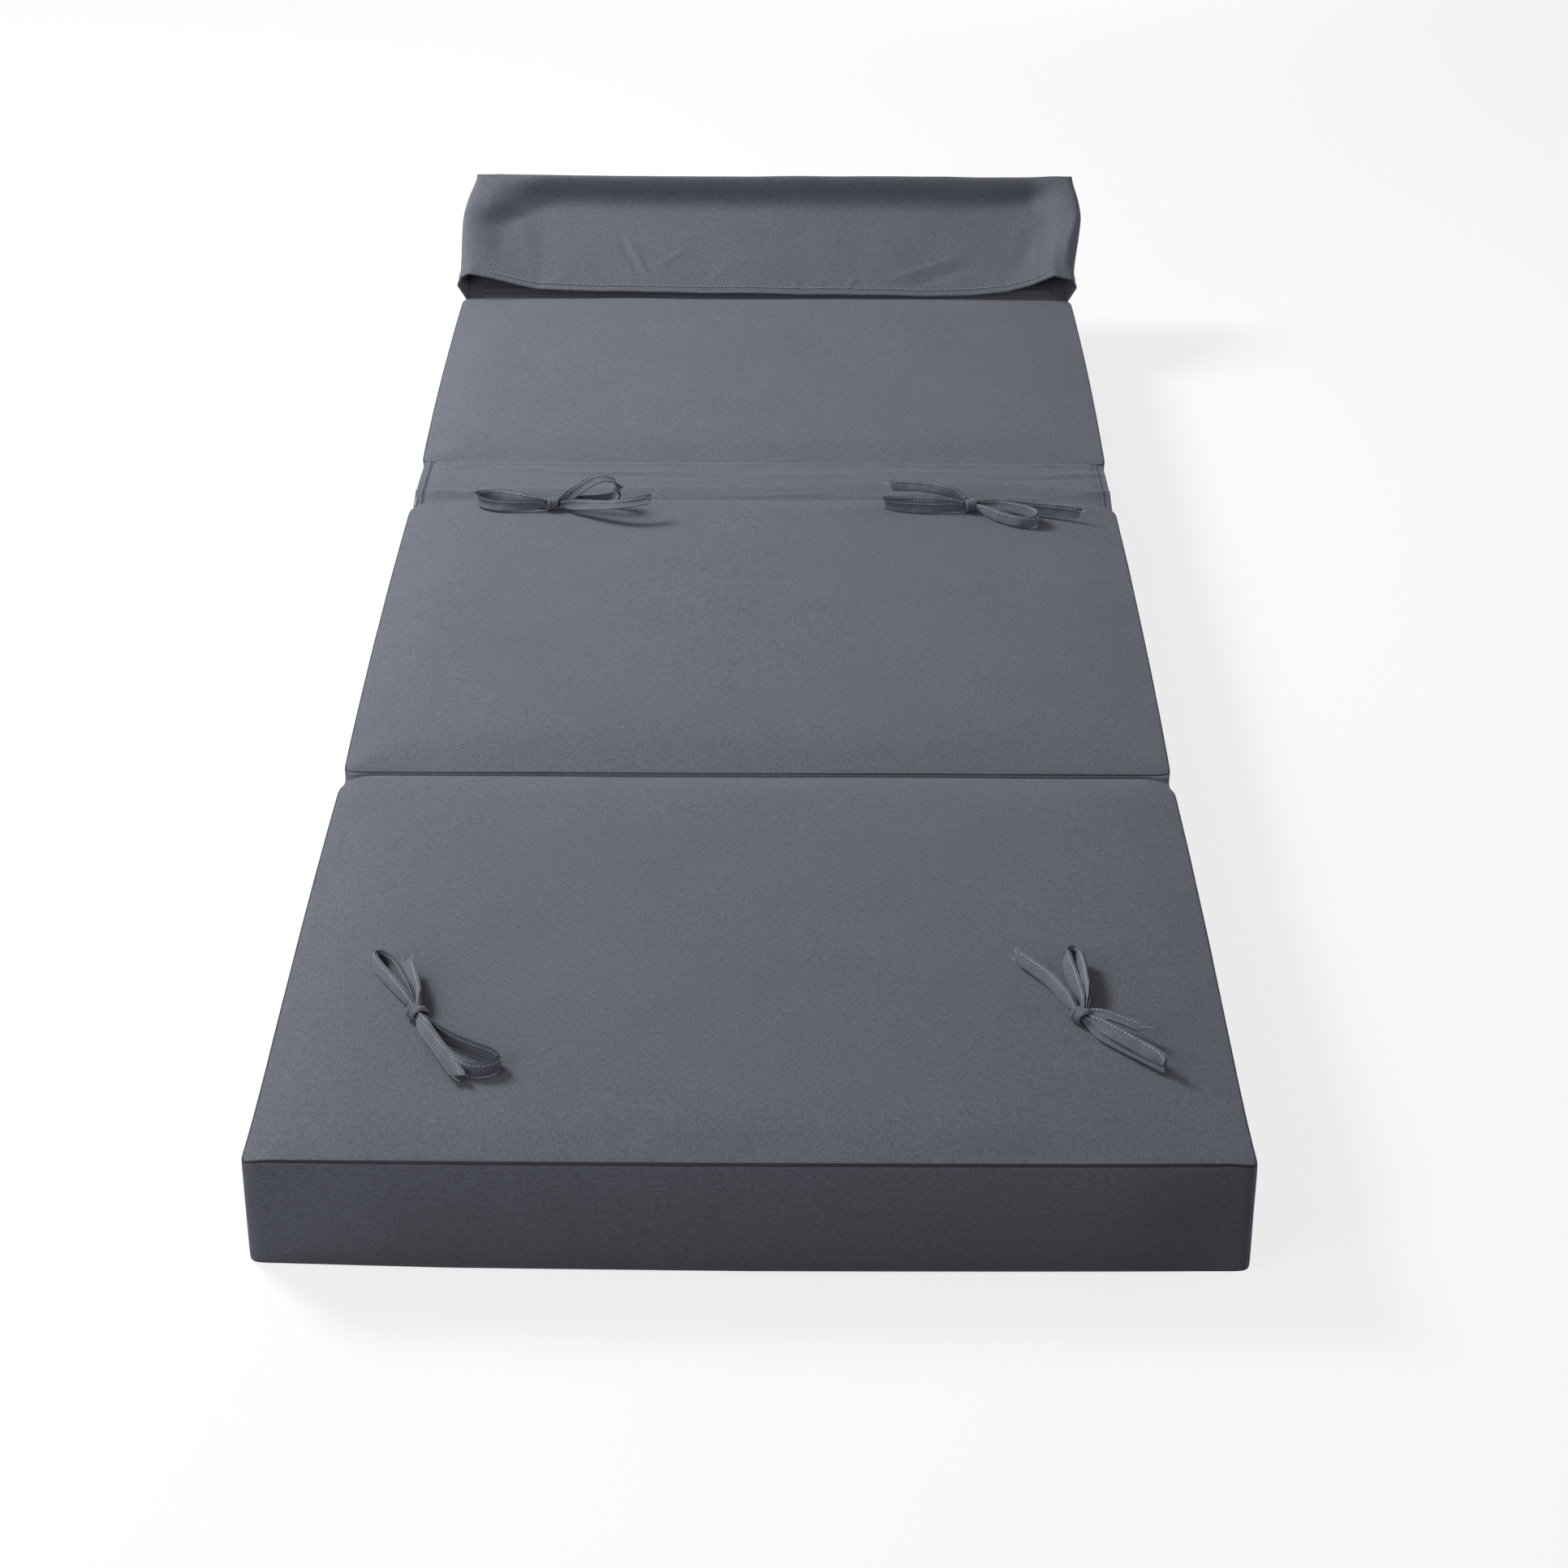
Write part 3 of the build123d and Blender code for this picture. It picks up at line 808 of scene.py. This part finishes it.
# The lower sheet: half its width at the root, how much it widens and then narrows, its sag and its sink
LOWER_HALF, LOWER_WIDEN, LOWER_NARROW = 394 * MM, 10 * MM, 8 * MM
LOWER_SAG, LOWER_SINK = 3 * MM, FAR_DROP + 0.8 * MM
# In shares of the hood: how far the lower sheet goes past its sides and its root, and the hemmed band's half
# width, its end, its stitch rows and their half width
LOWER_OVER, ROOT_OVER = 1.008, 0.012
BAND_HALF, BAND_END, BAND_ROWS, BAND_ROW_HALF = 0.95, 0.075, (0.022, 0.062), 0.945
BAND_LIFT, BAND_WAVE, BAND_ROW_LIFT = 1.6 * MM, 0.5 * MM, 2.5 * MM
# The mouth's stitch row: half its width and its place from the hem, in shares, and how far it stands off
MOUTH_ROW_HALF, MOUTH_ROW_IN, MOUTH_ROW_OFF = 0.9, 0.05, (0.0, -0.5 * MM, 0.9 * MM)
# The way that the two kinds of stitch row face, and the points along each
BAND_OUT, MOUTH_OUT = (0.0, -0.48, 0.87), (0.0, -0.5, 0.86)
ROW_POINTS = 300
# Cells across, along and up the cap, across and along the lower sheet, and across and along the band
CAP_CELLS, LOWER_CELLS, BAND_CELLS = (264, 60, 16), (100, 24), (100, 6)
# How far the gussets fold outwards and the end swells, and the share past which a point is on a side
GUSSET_FOLD, END_SWELL, ON_SIDE = 7 * MM, 3 * MM, 0.999
# The part of the cap that is rounded: past these shares to the left and right, up and back
ROUND_LEFT, ROUND_RIGHT, ROUND_UP, ROUND_BACK = -0.93, 0.985, 0.3, 0.08
# Creases in the upper sheet, from one point to another across and along the hood, and their width and height
# in mm
HOOD_CREASES = (
    (-0.473, 0.494, -0.394, 0.155, 4, 2.6), (-0.488, 0.494, -0.409, 0.155, 5, -2.2),
    (-0.363, 0.22, -0.268, 0.415, 5, 1.5), (0.0, 0.74, 0.0, 0.57, 3, 0.8), (-0.70, 0.06, -0.64, 0.14, 5, 1.2),
    (-0.99, 0.70, -0.93, 0.74, 4, 1.5), (-0.65, 0.79, -0.58, 0.87, 5, 1.2),
    (0.387, 0.13, 0.625, 0.35, 6, 2.5), (0.45, 0.08, 0.66, 0.27, 7, -1.9),
    (0.262, 0.04, 0.277, 0.15, 4, 1.5), (0.168, 0.04, 0.178, 0.14, 4, 1.4),
    (0.088, 0.04, 0.096, 0.12, 4, 1.2), (0.80, 0.83, 0.95, 0.97, 8, 1.5),
    (0.975, 0.10, 0.995, 0.60, 10, 3.0), (0.80, 0.10, 0.86, 0.55, 14, -2.2),
    (-0.74, 0.12, -0.82, 0.60, 12, 1.4), (-0.20, 0.06, -0.12, 0.30, 7, 0.7),
)


def hood_lower_point(a, b):
    """The lower sheet at a share a across the hood and b from its root to its far edge."""
    x = a * (LOWER_HALF + LOWER_WIDEN * step(b, 0.0, 0.4) - LOWER_NARROW * b) + HOOD_SWAY * b
    y = HOOD_ROOT.y + b * (HOOD_FAR.y - HOOD_ROOT.y)
    z = HOOD_ROOT.z + b * (HOOD_FAR.z - HOOD_ROOT.z) - LOWER_SAG * np.sin(np.pi * np.clip(b, 0, 1))
    z -= LOWER_SINK * (1 - step(b, 0.0, 0.08))
    z -= (SIDE_DROP - FAR_DROP) * np.exp((np.abs(a) - 1) * HOOD_HALF / SIDE_ROLL) * (1 - step(b, 0.0, 0.15))
    return rows_of(x, y, z)


def rounded(b, values):
    """A value along the upper sheet's rise, with its corners rounded."""
    reach = np.minimum(RISE_ROUND, np.minimum(b, 1 - b).clip(0, 1))
    return sum(np.interp(b + share * reach, RISE_PLACES, values) for share in (-1, -0.5, 0, 0.5, 1)) / 5


def hood_upper_point(a, b):
    """The upper sheet: held up at its ends and far edge, slack and low in the middle of its hem, with a
    hollow under its far ridge."""
    top = step(b, 0.5, 0.8)
    first, last = np.where(a < 0, [share - inward * top for share, inward in LEFT_END],
                           [share - inward * top for share, inward in RIGHT_END])
    end = step(np.abs(a), first, last)
    hem_rise = np.interp(a, HEM_PLACES, HEM_HEIGHTS)
    back, up = rounded(b, RISE_BACK), rounded(b, RISE_UP)
    straight = b + END_ARCH * np.sin(np.pi * b)
    back += end * (END_BACK[0] + (END_BACK[1] - END_BACK[0]) * b - back)
    up += end * (END_UP * straight - up)
    y = HOOD_ROOT.y + back * MM
    z = HOOD_ROOT.z + (hem_rise + up * (HOOD_TOP - hem_rise) / END_UP) * MM
    side = np.where(a < 0, np.interp(b, SIDE_PLACES, SIDE_LEFT), np.interp(b, SIDE_PLACES, SIDE_RIGHT)) * MM
    x = a * (HOOD_HALF + (side - HOOD_HALF) * step(np.abs(a), 0.8, 1.0)) + HOOD_SWAY * b
    z += SLOW_WAVE * uneven(rows_of(a * SLOW_ACROSS, 0.0, 0.0), 1.0, 3.0) * b
    z += QUICK_WAVE * uneven(rows_of(a * QUICK_ACROSS, b * QUICK_ALONG, 0.0), 1.0, 7.0) * (1 - 0.4 * b)
    sheet = np.array([HOOD_HALF, HOOD_RUN])
    place = np.stack([a, b], axis=1) * sheet
    for from_a, from_b, to_a, to_b, width, height in HOOD_CREASES:
        first, line = sheet * (from_a, from_b), sheet * (to_a - from_a, to_b - from_b)
        share = (place - first) @ line / (line @ line)
        across = (place - first) @ np.array([-line[1], line[0]]) / np.hypot(*line)
        ends = step(share, -0.15, 0.3) * (1 - step(share, 0.7, 1.15))
        z += height * MM * bump(across, 0.0, width * MM) * ends
    return rows_of(x, y, z)


def hem_roll(name, path, radius):
    """A narrow rolled hem along a line of points."""
    line = bpy.data.curves.new(name, "CURVE")
    line.dimensions = "3D"
    line.bevel_depth = radius
    line.bevel_resolution = 3
    spline = line.splines.new("POLY")
    spline.points.add(len(path) - 1)
    for point, place in zip(spline.points, path):
        point.co = (*place, 1.0)
    roll = bpy.data.objects.new(name, line)
    bpy.context.scene.collection.objects.link(roll)
    pick(roll)
    bpy.ops.object.convert(target="MESH")
    return bpy.context.object


def hood_cap():
    """The upper sheet, side gussets and end gusset, sewn as one open cap, with a rolled hem at the mouth."""
    cap = block("hood_cap", (-1, 0, 0), (1, 1, 1))
    delete_faces(cap, lambda middle: middle.z < 0.01 or middle.y < 0.01)
    for axis, count in enumerate(CAP_CELLS):
        divide(cap, axis, count)
    a, b, c = points_of(cap).T
    low, top = hood_lower_point(a, b), hood_upper_point(a, b)
    low[:, 2] += 0.4 * CLOTH
    points = low + (top - low) * c[:, None]
    left, right = a < -ON_SIDE, a > ON_SIDE
    fold = np.interp(c, (0.0, 0.65, 1.0), (0.0, 1.0, 0.0))
    points[:, 0] += np.where(left | right, np.sign(a) * GUSSET_FOLD * fold * (1 - 0.6 * b), 0.0)
    points[:, 1] += np.where(b > ON_SIDE, END_SWELL * np.sin(np.pi * c), 0.0)
    place_points(cap, points)
    at_ends = (a < ROUND_LEFT) | (a > ROUND_RIGHT)
    mark(cap, "VERT", at_ends & (c > ROUND_UP) & (b > ROUND_BACK) & (b < ON_SIDE))
    bpy.ops.mesh.vertices_smooth(factor=0.5, repeat=40)
    done()
    # The mouth's edge in order: up the left gusset, across the hem and down the right gusset
    order = np.where(left, c - 1, np.where(right, 3 - c, a + 1))
    mouth = np.flatnonzero(b < TINY)
    path = points_of(cap)[mouth[np.argsort(order[mouth])]]
    roll = hem_roll("hood_hem", path, HEM_RADIUS)
    thicken(cap, CLOTH, offset=-1.0)
    join(cap, roll)
    smooth(cap, 70)
    finish(cap, "hood", "cover_cloth", COVER_CLOTH,
           "hood_upper", "hood_gusset_left", "hood_gusset_right", "hood_end")
    across = np.linspace(-MOUTH_ROW_HALF, MOUTH_ROW_HALF, ROW_POINTS)
    row = hood_upper_point(across, np.full(ROW_POINTS, MOUTH_ROW_IN)) + np.array(MOUTH_ROW_OFF)
    stitches = stitch_row("hood_hem_stitches", row, MOUTH_OUT, "hood", PALE_THREAD)


def hood_lower():
    """The hood's lower sheet, sewn to the back panel's far edge by a hemmed band with two stitch rows."""
    sheet = flat_sheet("hood_lower_cloth", (-LOWER_OVER, -ROOT_OVER, 0), (LOWER_OVER, LOWER_OVER, 0),
                       *LOWER_CELLS)
    place_points(sheet, hood_lower_point(*points_of(sheet)[:, :2].T))
    band = flat_sheet("hood_band", (-BAND_HALF, -ROOT_OVER, 0), (BAND_HALF, BAND_END, 0), *BAND_CELLS)
    a, b = points_of(band)[:, :2].T
    points = hood_lower_point(a, b)
    points[:, 2] += BAND_LIFT + BAND_WAVE * uneven(rows_of(a * 9, b * 8, 0.0), 1.0, 2.0)
    place_points(band, points)
    for piece in (sheet, band):
        thicken(piece, CLOTH)
    join(sheet, band)
    soften(sheet)
    smooth(sheet, 60)
    finish(sheet, "hood", "cover_cloth", COVER_CLOTH, "hood_lower")
    across = np.linspace(-BAND_ROW_HALF, BAND_ROW_HALF, ROW_POINTS)
    for number, b in enumerate(BAND_ROWS):
        path = hood_lower_point(across, np.full(ROW_POINTS, b))
        path[:, 2] += BAND_ROW_LIFT
        stitch_row(f"hood_band_stitches_{number + 1}", path, BAND_OUT, "hood", THREAD)


hood_lower()
hood_cap()


# Tie bows

# Loose threads at a tape's frayed end, in mm: place across the tape, drift to one side, and length
FRAYED = ((4.5, 0.6, 3.0), (1.5, -1.0, 6.0), (-4.0, 0.8, 4.5))


def frayed_thread(end, across, drift, length):
    """A thin loose thread at the end of a tape, in mm."""
    places = [(end - 3, 0, across), (end + 1, drift, across), (end + length - 1, 2 * drift, across + 1),
              (end + length + 1.5, 3 * drift, across + 2.5)]
    thread = hem_roll("thread", np.array(places) * MM, 0.32 * MM)
    thread.data.materials.append(PALE_THREAD)
    return thread


def gathered(run, length, gather):
    """How much of its width a tape has along its run, where a knot squeezes its ends."""
    width = np.ones(len(run))
    for end, gap in (("start", run), ("end", length - run)):
        if end in gather:
            width -= KNOT_SQUEEZE * (1 - step(gap, 0.0, SQUEEZE_REACH))
    return width


def tape_wave(run, across, seed):
    """How far a tape's cloth cups and creases out of its plane."""
    cup = (CUP + CUP_CHANGE * uneven(rows_of(run, 0.0, 0.0), CUP_SIZE, seed)) * MM
    crease = CREASE * uneven(rows_of(run, across, 0.0), CREASE_SIZE, seed + 1)
    return cup * (1 - (2 * across / TAPE_WIDTH) ** 2) + crease


def flat_tape(name, length, gather, seed):
    """A tie tape laid out straight: two layers of cloth, closed by stitches along one edge, frayed at a free
    end."""
    layers = []
    for side in (-1, 1):
        cells = 2 * max(4, round(length / TAPE_CELL / 2))
        layer = flat_sheet(name, (0, -TAPE_WIDTH / 2, 0), (length, TAPE_WIDTH / 2, 0), cells, 4)
        run, across = points_of(layer)[:, :2].T
        edge = 2 * across / TAPE_WIDTH
        parted = side * (LAYER_OFF + LAYER_OPEN * np.clip(edge, 0, 1) ** 4) * MM
        wave, width = tape_wave(run, across, seed), gathered(run, length, gather)
        if "end" not in gather:
            slant, at_cut = CUT_SLANT * edge * step(run, length - CUT_RUN, length), run > length - TINY
            run = run + slant - CUT_STEP * side * at_cut
        place_points(layer, rows_of(run, wave + parted, across * width))
        thicken(layer, TAPE_LAYER)
        soften(layer)
        layer.data.materials.append(TIE_CLOTH)
        layers.append(layer)
    run, across = np.arange(TAPE_ROW_SHORT, length - TAPE_ROW_SHORT, 1 * MM), 0.5 * TAPE_WIDTH - TAPE_ROW_IN
    wave, width = tape_wave(run, across, seed), gathered(run, length, gather)
    for side in (-1.0, 1.0):
        row = rows_of(run, side * TAPE_ROW_OUT + wave, across * width)
        layers.append(stitch_row(name + "_stitches", row, (0.0, side, 0.0), None, PALE_THREAD, TAPE_PITCH))
    if "end" not in gather:
        layers += [frayed_thread(length / MM, *thread) for thread in FRAYED]
    return join(*layers)


def lay_tape(name, route, gather, seed):
    """Lays a tie tape along a smooth line through given points: x, y, z in mm and the tape's lean in
    degrees, 0 on edge and 90 flat. gather names the ends that the knot squeezes."""
    line = bpy.data.curves.new(name + "_line", "CURVE")
    line.dimensions = "3D"
    line.twist_mode = "Z_UP"
    line.resolution_u = 16
    spline = line.splines.new("NURBS")
    spline.points.add(len(route) - 1)
    for point, (x, y, z, lean) in zip(spline.points, route):
        point.co = (x * MM, y * MM, z * MM, 1.0)
        point.tilt = math.radians(lean)
    spline.order_u = 3
    spline.use_endpoint_u = True
    guide = bpy.data.objects.new(name + "_line", line)
    bpy.context.scene.collection.objects.link(guide)
    bpy.context.view_layer.update()
    length = spline.calc_length()
    strip = flat_tape(name, length, gather, seed)
    pick(strip)
    follow = strip.modifiers.new("Follow", "CURVE")
    follow.object = guide
    follow.deform_axis = "POS_X"
    bpy.ops.object.modifier_apply(modifier=follow.name)
    bpy.data.objects.remove(guide)
    return strip, length


def knot_band(width, radius, shift, turn):
    """One wrap of tape round the gathered strands."""
    band = primitive("knot_band", bpy.ops.mesh.primitive_cylinder_add, vertices=24, radius=radius,
                     depth=width, end_fill_type="NOTHING", rotation=(0, math.pi / 2, 0),
                     location=(0, 0, KNOT_HEIGHT))
    divide(band, 0, 8)
    x, y, z = points_of(band).T
    along, angle = 2 * x / width, np.arctan2(y, z - KNOT_HEIGHT)
    swelling = 1.0 - WRAP_NARROW * along ** 2
    # Two sets of slanting wrinkles
    swelling += 0.05 * np.sin(4 * along + 3 * angle) + 0.03 * np.sin(9 * along - 2 * angle)
    x, y = turn_by(x + shift + WRAP_SWAY * np.sin(angle + 0.6), y * swelling, turn)
    place_points(band, rows_of(x, y, KNOT_HEIGHT + (z - KNOT_HEIGHT) * swelling * WRAP_FLAT))
    thicken(band, 2 * TAPE_LAYER)
    soften(band)
    return band


def knot(turn):
    """The wrapped middle of a bow: two wraps of tape round the gathered strands, along the given turn."""
    bands = [knot_band(width, radius, shift, turn + more) for width, radius, shift, more in WRAPS]
    filling = primitive("knot_filling", bpy.ops.mesh.primitive_uv_sphere_add, segments=16, ring_count=10,
                        radius=FILLING_RADIUS, location=(0, 0, KNOT_HEIGHT))
    points = points_of(filling)
    wave = FILLING_WAVE * uneven(points, FILLING_WAVE_SIZE, 3.0)
    place_points(filling, points * (1 + wave)[:, None])
    for piece in bands + [filling]:
        piece.data.materials.append(TIE_CLOTH)
    return join(*bands, filling)


# Where each knot sits across the panel, in mm from the middle, and how far short of its tack's middle
TIE_SPOTS = {"front_left": -281, "front_right": 278, "middle_left": -235, "middle_right": 235}
TIE_SHORT = 8 * MM
# The ends of a strand that the knot gathers
LOOP, TAIL = ("start", "end"), ("start",)
# Each bow: the turn of its knot, and its strands' routes from the knot
BOWS = {
    "front_left": (-58, {
        "loop_a": (LOOP, [
            (-2, 4, 8, 0), (-14, 25, 8, 18), (-35, 60, 7, 28), (-48, 83, 7, 20), (-42, 90, 7, 0),
            (-29, 76, 7, -20), (-20, 54, 7, -26), (-9, 27, 8, -14), (-1, 6, 8, 0)]),
        "tail_a": (TAIL, [(0, 5, 9, 20), (-4, 27, 11, 50), (-9, 46, 12, 66), (-17, 73, 11, 74)]),
        "tail_b": (TAIL, [(0, -4, 9, -30), (6, -22, 11, -60), (19, -47, 10, -80), (42, -91, 8, -84)]),
        "loop_b": (LOOP, [
            (3, -5, 8, 0), (16, -26, 8, 0), (44, -50, 8, -8), (66, -60, 7, -8), (76, -70, 7, 0),
            (68, -82, 7, 8), (48, -83, 7, 16), (32, -68, 8, 34), (13, -32, 8, 20), (2, -8, 8, 0)]),
    }),
    "front_right": (-62, {
        "tail_a": (TAIL, [(-3, 4, 8, 0), (-12, 28, 9, 30), (-27, 62, 9, 44), (-50, 92, 8, 36)]),
        "loop_a": (LOOP, [
            (1, 5, 8, 30), (0, 28, 7, 50), (-3, 60, 6, 60), (-7, 90, 7, 40), (-3, 97, 9, 0),
            (3, 90, 11, -40), (4, 60, 11, -55), (5, 28, 10, -40), (3, 6, 9, -20)]),
        "tail_b": (TAIL, [(3, 2, 10, -40), (14, -4, 13, -80), (30, -14, 14, -96), (48, -26, 12, -88)]),
        "loop_b": (LOOP, [
            (1, -5, 8, -20), (14, -24, 6, -60), (35, -45, 5, -72), (58, -66, 5, -66), (64, -73, 6, -20),
            (59, -64, 9, 40), (36, -42, 10, 66), (16, -20, 10, 56), (4, -4, 9, 20)]),
    }),
    "middle_left": (0, {
        "loop_a": (LOOP, [
            (-4, 2, 9, 0), (-20, 4, 9, 30), (-44, 12, 9, 46), (-66, 20, 9, 40), (-88, 20, 8, 10),
            (-88, 8, 7, 0), (-66, -4, 7, -34), (-38, -6, 7, -30), (-18, -4, 8, -10), (-5, -2, 8, 0)]),
        "loop_b": (LOOP, [
            (5, 1, 9, 0), (20, 0, 18, -30), (38, 0, 32, -50), (56, 2, 40, -70), (74, 4, 32, -100),
            (72, 6, 14, -150), (54, 8, 8, -165), (26, 6, 8, -175), (6, 2, 8, -180)]),
        "tail_b": (TAIL, [
            (5, -2, 8, 0), (30, -15, 13, -44), (62, -30, 19, -60), (88, -33, 23, -64), (110, -25, 25, -60)]),
        "tail_a": (TAIL, [(-4, 3, 8, 0), (-22, 10, 8, 30), (-44, 18, 9, 46), (-62, 20, 9, 40)]),
    }),
    "middle_right": (0, {
        "loop_a": (LOOP, [
            (-5, 2, 8, 0), (-28, 4, 9, 36), (-62, 7, 9, 46), (-98, 9, 8, 20), (-99, 2, 7, 0),
            (-62, -6, 7, -30), (-28, -6, 7, -24), (-5, -2, 8, 0)]),
        "tail_a": (TAIL, [
            (-4, 2, 11, 10), (-14, 8, 17, 30), (-34, 12, 21, 48), (-62, 18, 23, 50), (-90, 21, 22, 40)]),
        "loop_b": (LOOP, [
            (5, 0, 9, 0), (22, -4, 10, -40), (46, -10, 10, -54), (70, -24, 9, -30), (72, -40, 7, 0),
            (58, -46, 7, 24), (34, -34, 7, 30), (14, -14, 8, 10), (5, -4, 8, 0)]),
        "tail_b": (TAIL, [(5, 2, 8, 0), (36, -2, 8, -26), (70, -10, 8, -34), (120, -20, 7, -26)]),
    }),
}


def tie_bow(name):
    """One tie: a single tape, knotted in a bow on its sewn tack."""
    panel = name.split("_")[0]
    tack_low, tack_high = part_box("tie_tacks_" + panel)
    over = Vector((TIE_SPOTS[name] * MM, (tack_low.y + tack_high.y) / 2 - TIE_SHORT, RAY_TOP))
    spot = pads[panel].ray_cast(over, Vector((0, 0, -1)))[1]
    turn, strands = BOWS[name]
    pieces, total = [knot(turn)], KNOT_TAPE
    for number, (strand, (gather, route)) in enumerate(strands.items()):
        strip, length = lay_tape(name + "_" + strand, route, gather, number + len(name))
        pieces.append(strip)
        total += length
    bow = join(*pieces)
    bow.name = bow.data.name = "tie_bow_" + name
    place_points(bow, points_of(bow) + np.array(spot))
    smooth(bow, 60)
    finish(bow, panel + "_panel", "tie_tape", None, "tie_" + name)
    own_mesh(bow)


for name in BOWS:
    tie_bow(name)


# Zips

def zip_trim(panel):
    """A zip's coil, as small nylon teeth on a cord, and the two rows of stitches that hold its tapes."""
    low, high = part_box(panel + "_zip_coil")
    middle = (low + high) / 2
    line, out = rows_of(middle.x, np.linspace(low.y, high.y, 200), middle.z), Vector((1, 0, 0))
    teeth = stitch_row(panel + "_zip_teeth", line, out, None, COIL, TOOTH_PITCH, TOOTH_SIZE)
    cord = block("cord", (low.x, low.y, middle.z - CORD_HALF),
                 (low.x + CORD_DEEP, high.y, middle.z + CORD_HALF))
    cord.data.materials.append(COIL)
    finish(join(teeth, cord), panel + "_panel", "zip_coil", None, panel + "_zip_coil")
    for number, rise in enumerate((-1, 1)):
        row = line + np.array([0.0, 0.0, rise * (ZIP_BAND + ZIP_ROW_PAST)])
        walls = [pads[panel].ray_cast(Vector((RAY_SIDE, *spot[1:])), -out)[1] for spot in row]
        row[:, 0] = [wall.x + ZIP_ROW_LIFT for wall in walls]
        stitch_row(f"{panel}_zip_stitches_{number + 1}", row, out, panel + "_panel", THREAD)


for panel in pads:
    zip_trim(panel)


# Carried-over nodes

def dress_node(node, material):
    """Gives a carried-over node its material."""
    slots = frame["nodes"][node].data.materials
    slots.clear()
    slots.append(material)


for panel in pads:
    dress_node(panel + "_zip_tapes", ZIP_CLOTH)
    for metal in ("_zip_stops", "_zip_slider", "_zip_pull"):
        dress_node(panel + metal, ZINC)
for tacks in ("tie_tacks_front", "tie_tacks_middle"):
    dress_node(tacks, THREAD)


# Stage, light and camera

def seen_straight(tree):
    """1 for what the camera sees directly, in a gloss or through glass, and 0 for the light that it gives."""
    path = add(tree, "ShaderNodeLightPath")
    either = add(tree, "ShaderNodeMath", {0: path.outputs["Is Camera Ray"], 1: path.outputs["Is Glossy Ray"]},
                 operation="MAXIMUM")
    return add(tree, "ShaderNodeMath", {0: either.outputs[0], 1: path.outputs["Is Transmission Ray"]},
               operation="MAXIMUM").outputs[0]


def studio_floor():
    """A wide pale floor that the camera sees as white under the light and grey in the shadow."""
    bpy.ops.object.select_all(action="DESELECT")
    bpy.ops.mesh.primitive_plane_add(size=24, location=(0, 0, -0.5 * MM))
    floor = bpy.context.object
    floor.name = "studio_floor"
    material, tree, output = new_material("white studio paper")
    paper = add(tree, "ShaderNodeBsdfDiffuse", {"Color": linear("#909090")})
    glow = add(tree, "ShaderNodeEmission", {"Color": (1, 1, 1, 1), "Strength": 0.78})
    bright = add(tree, "ShaderNodeAddShader", {0: paper.outputs[0], 1: glow.outputs[0]})
    dull = add(tree, "ShaderNodeBsdfDiffuse", {"Color": linear("#8C8C8C")})
    mixed = add(tree, "ShaderNodeMixShader",
                {0: seen_straight(tree), 1: dull.outputs[0], 2: bright.outputs[0]})
    tree.links.new(mixed.outputs[0], output.inputs["Surface"])
    floor.data.materials.append(material)


def soft_box(name, place, aim, size, power):
    """A large square studio lamp."""
    lamp = bpy.data.lights.new(name, "AREA")
    lamp.size = size
    lamp.energy = power
    holder = bpy.data.objects.new(name, lamp)
    holder.visible_camera = False
    holder.location = place
    holder.rotation_euler = (Vector(aim) - Vector(place)).to_track_quat("-Z", "Y").to_euler()
    bpy.context.scene.collection.objects.link(holder)


def studio_sky(strength):
    """An even grey fill that the camera sees as white."""
    world = bpy.data.worlds.new("studio sky")
    world.use_nodes = True
    tree = world.node_tree
    tree.nodes.clear()
    level = add(tree, "ShaderNodeMapRange", {"Value": seen_straight(tree), "To Min": strength, "To Max": 1.0})
    sky = add(tree, "ShaderNodeBackground", {"Color": (1, 1, 1, 1), "Strength": level.outputs[0]})
    add(tree, "ShaderNodeOutputWorld", {"Surface": sky.outputs[0]})
    bpy.context.scene.world = world


studio_floor()
studio_sky(0.17)
soft_box("key", (-2.15, 1.05, 2.05), (-0.8, -0.1, 0.1), 1.0, 93)
soft_box("fill", (-1.95, -2.1, 1.1), (-0.3, -0.9, 0.1), 1.6, 19)
soft_box("right wall light", (2.9, 0.1, 0.26), (0.4, 0.0, 0.05), 0.5, 15)
soft_box("far end light", (0.4, 3.6, 0.3), (0.0, 1.0, 0.1), 0.6, 13)

# The camera, fitted to the photograph
CAMERA_PLACE = (0.0282, -3.0437, 1.5877)
YAW, PITCH, ROLL = (math.radians(angle) for angle in (-0.0505, 29.609, 0.2141))
FOCAL_LENGTH, SENSOR_WIDTH = 72.21, 36.0
lens = bpy.data.cameras.new("camera")
lens.lens, lens.sensor_width, lens.sensor_fit = FOCAL_LENGTH, SENSOR_WIDTH, "HORIZONTAL"
camera = bpy.data.objects.new("camera", lens)
camera.location = CAMERA_PLACE
camera.rotation_euler = (Matrix.Rotation(-YAW, 3, "Z") @ Matrix.Rotation(math.pi / 2 - PITCH, 3, "X")
                         @ Matrix.Rotation(ROLL, 3, "Z")).to_euler()
bpy.context.scene.collection.objects.link(camera)
bpy.context.scene.camera = camera
bpy.context.scene.view_settings.view_transform = "Standard"
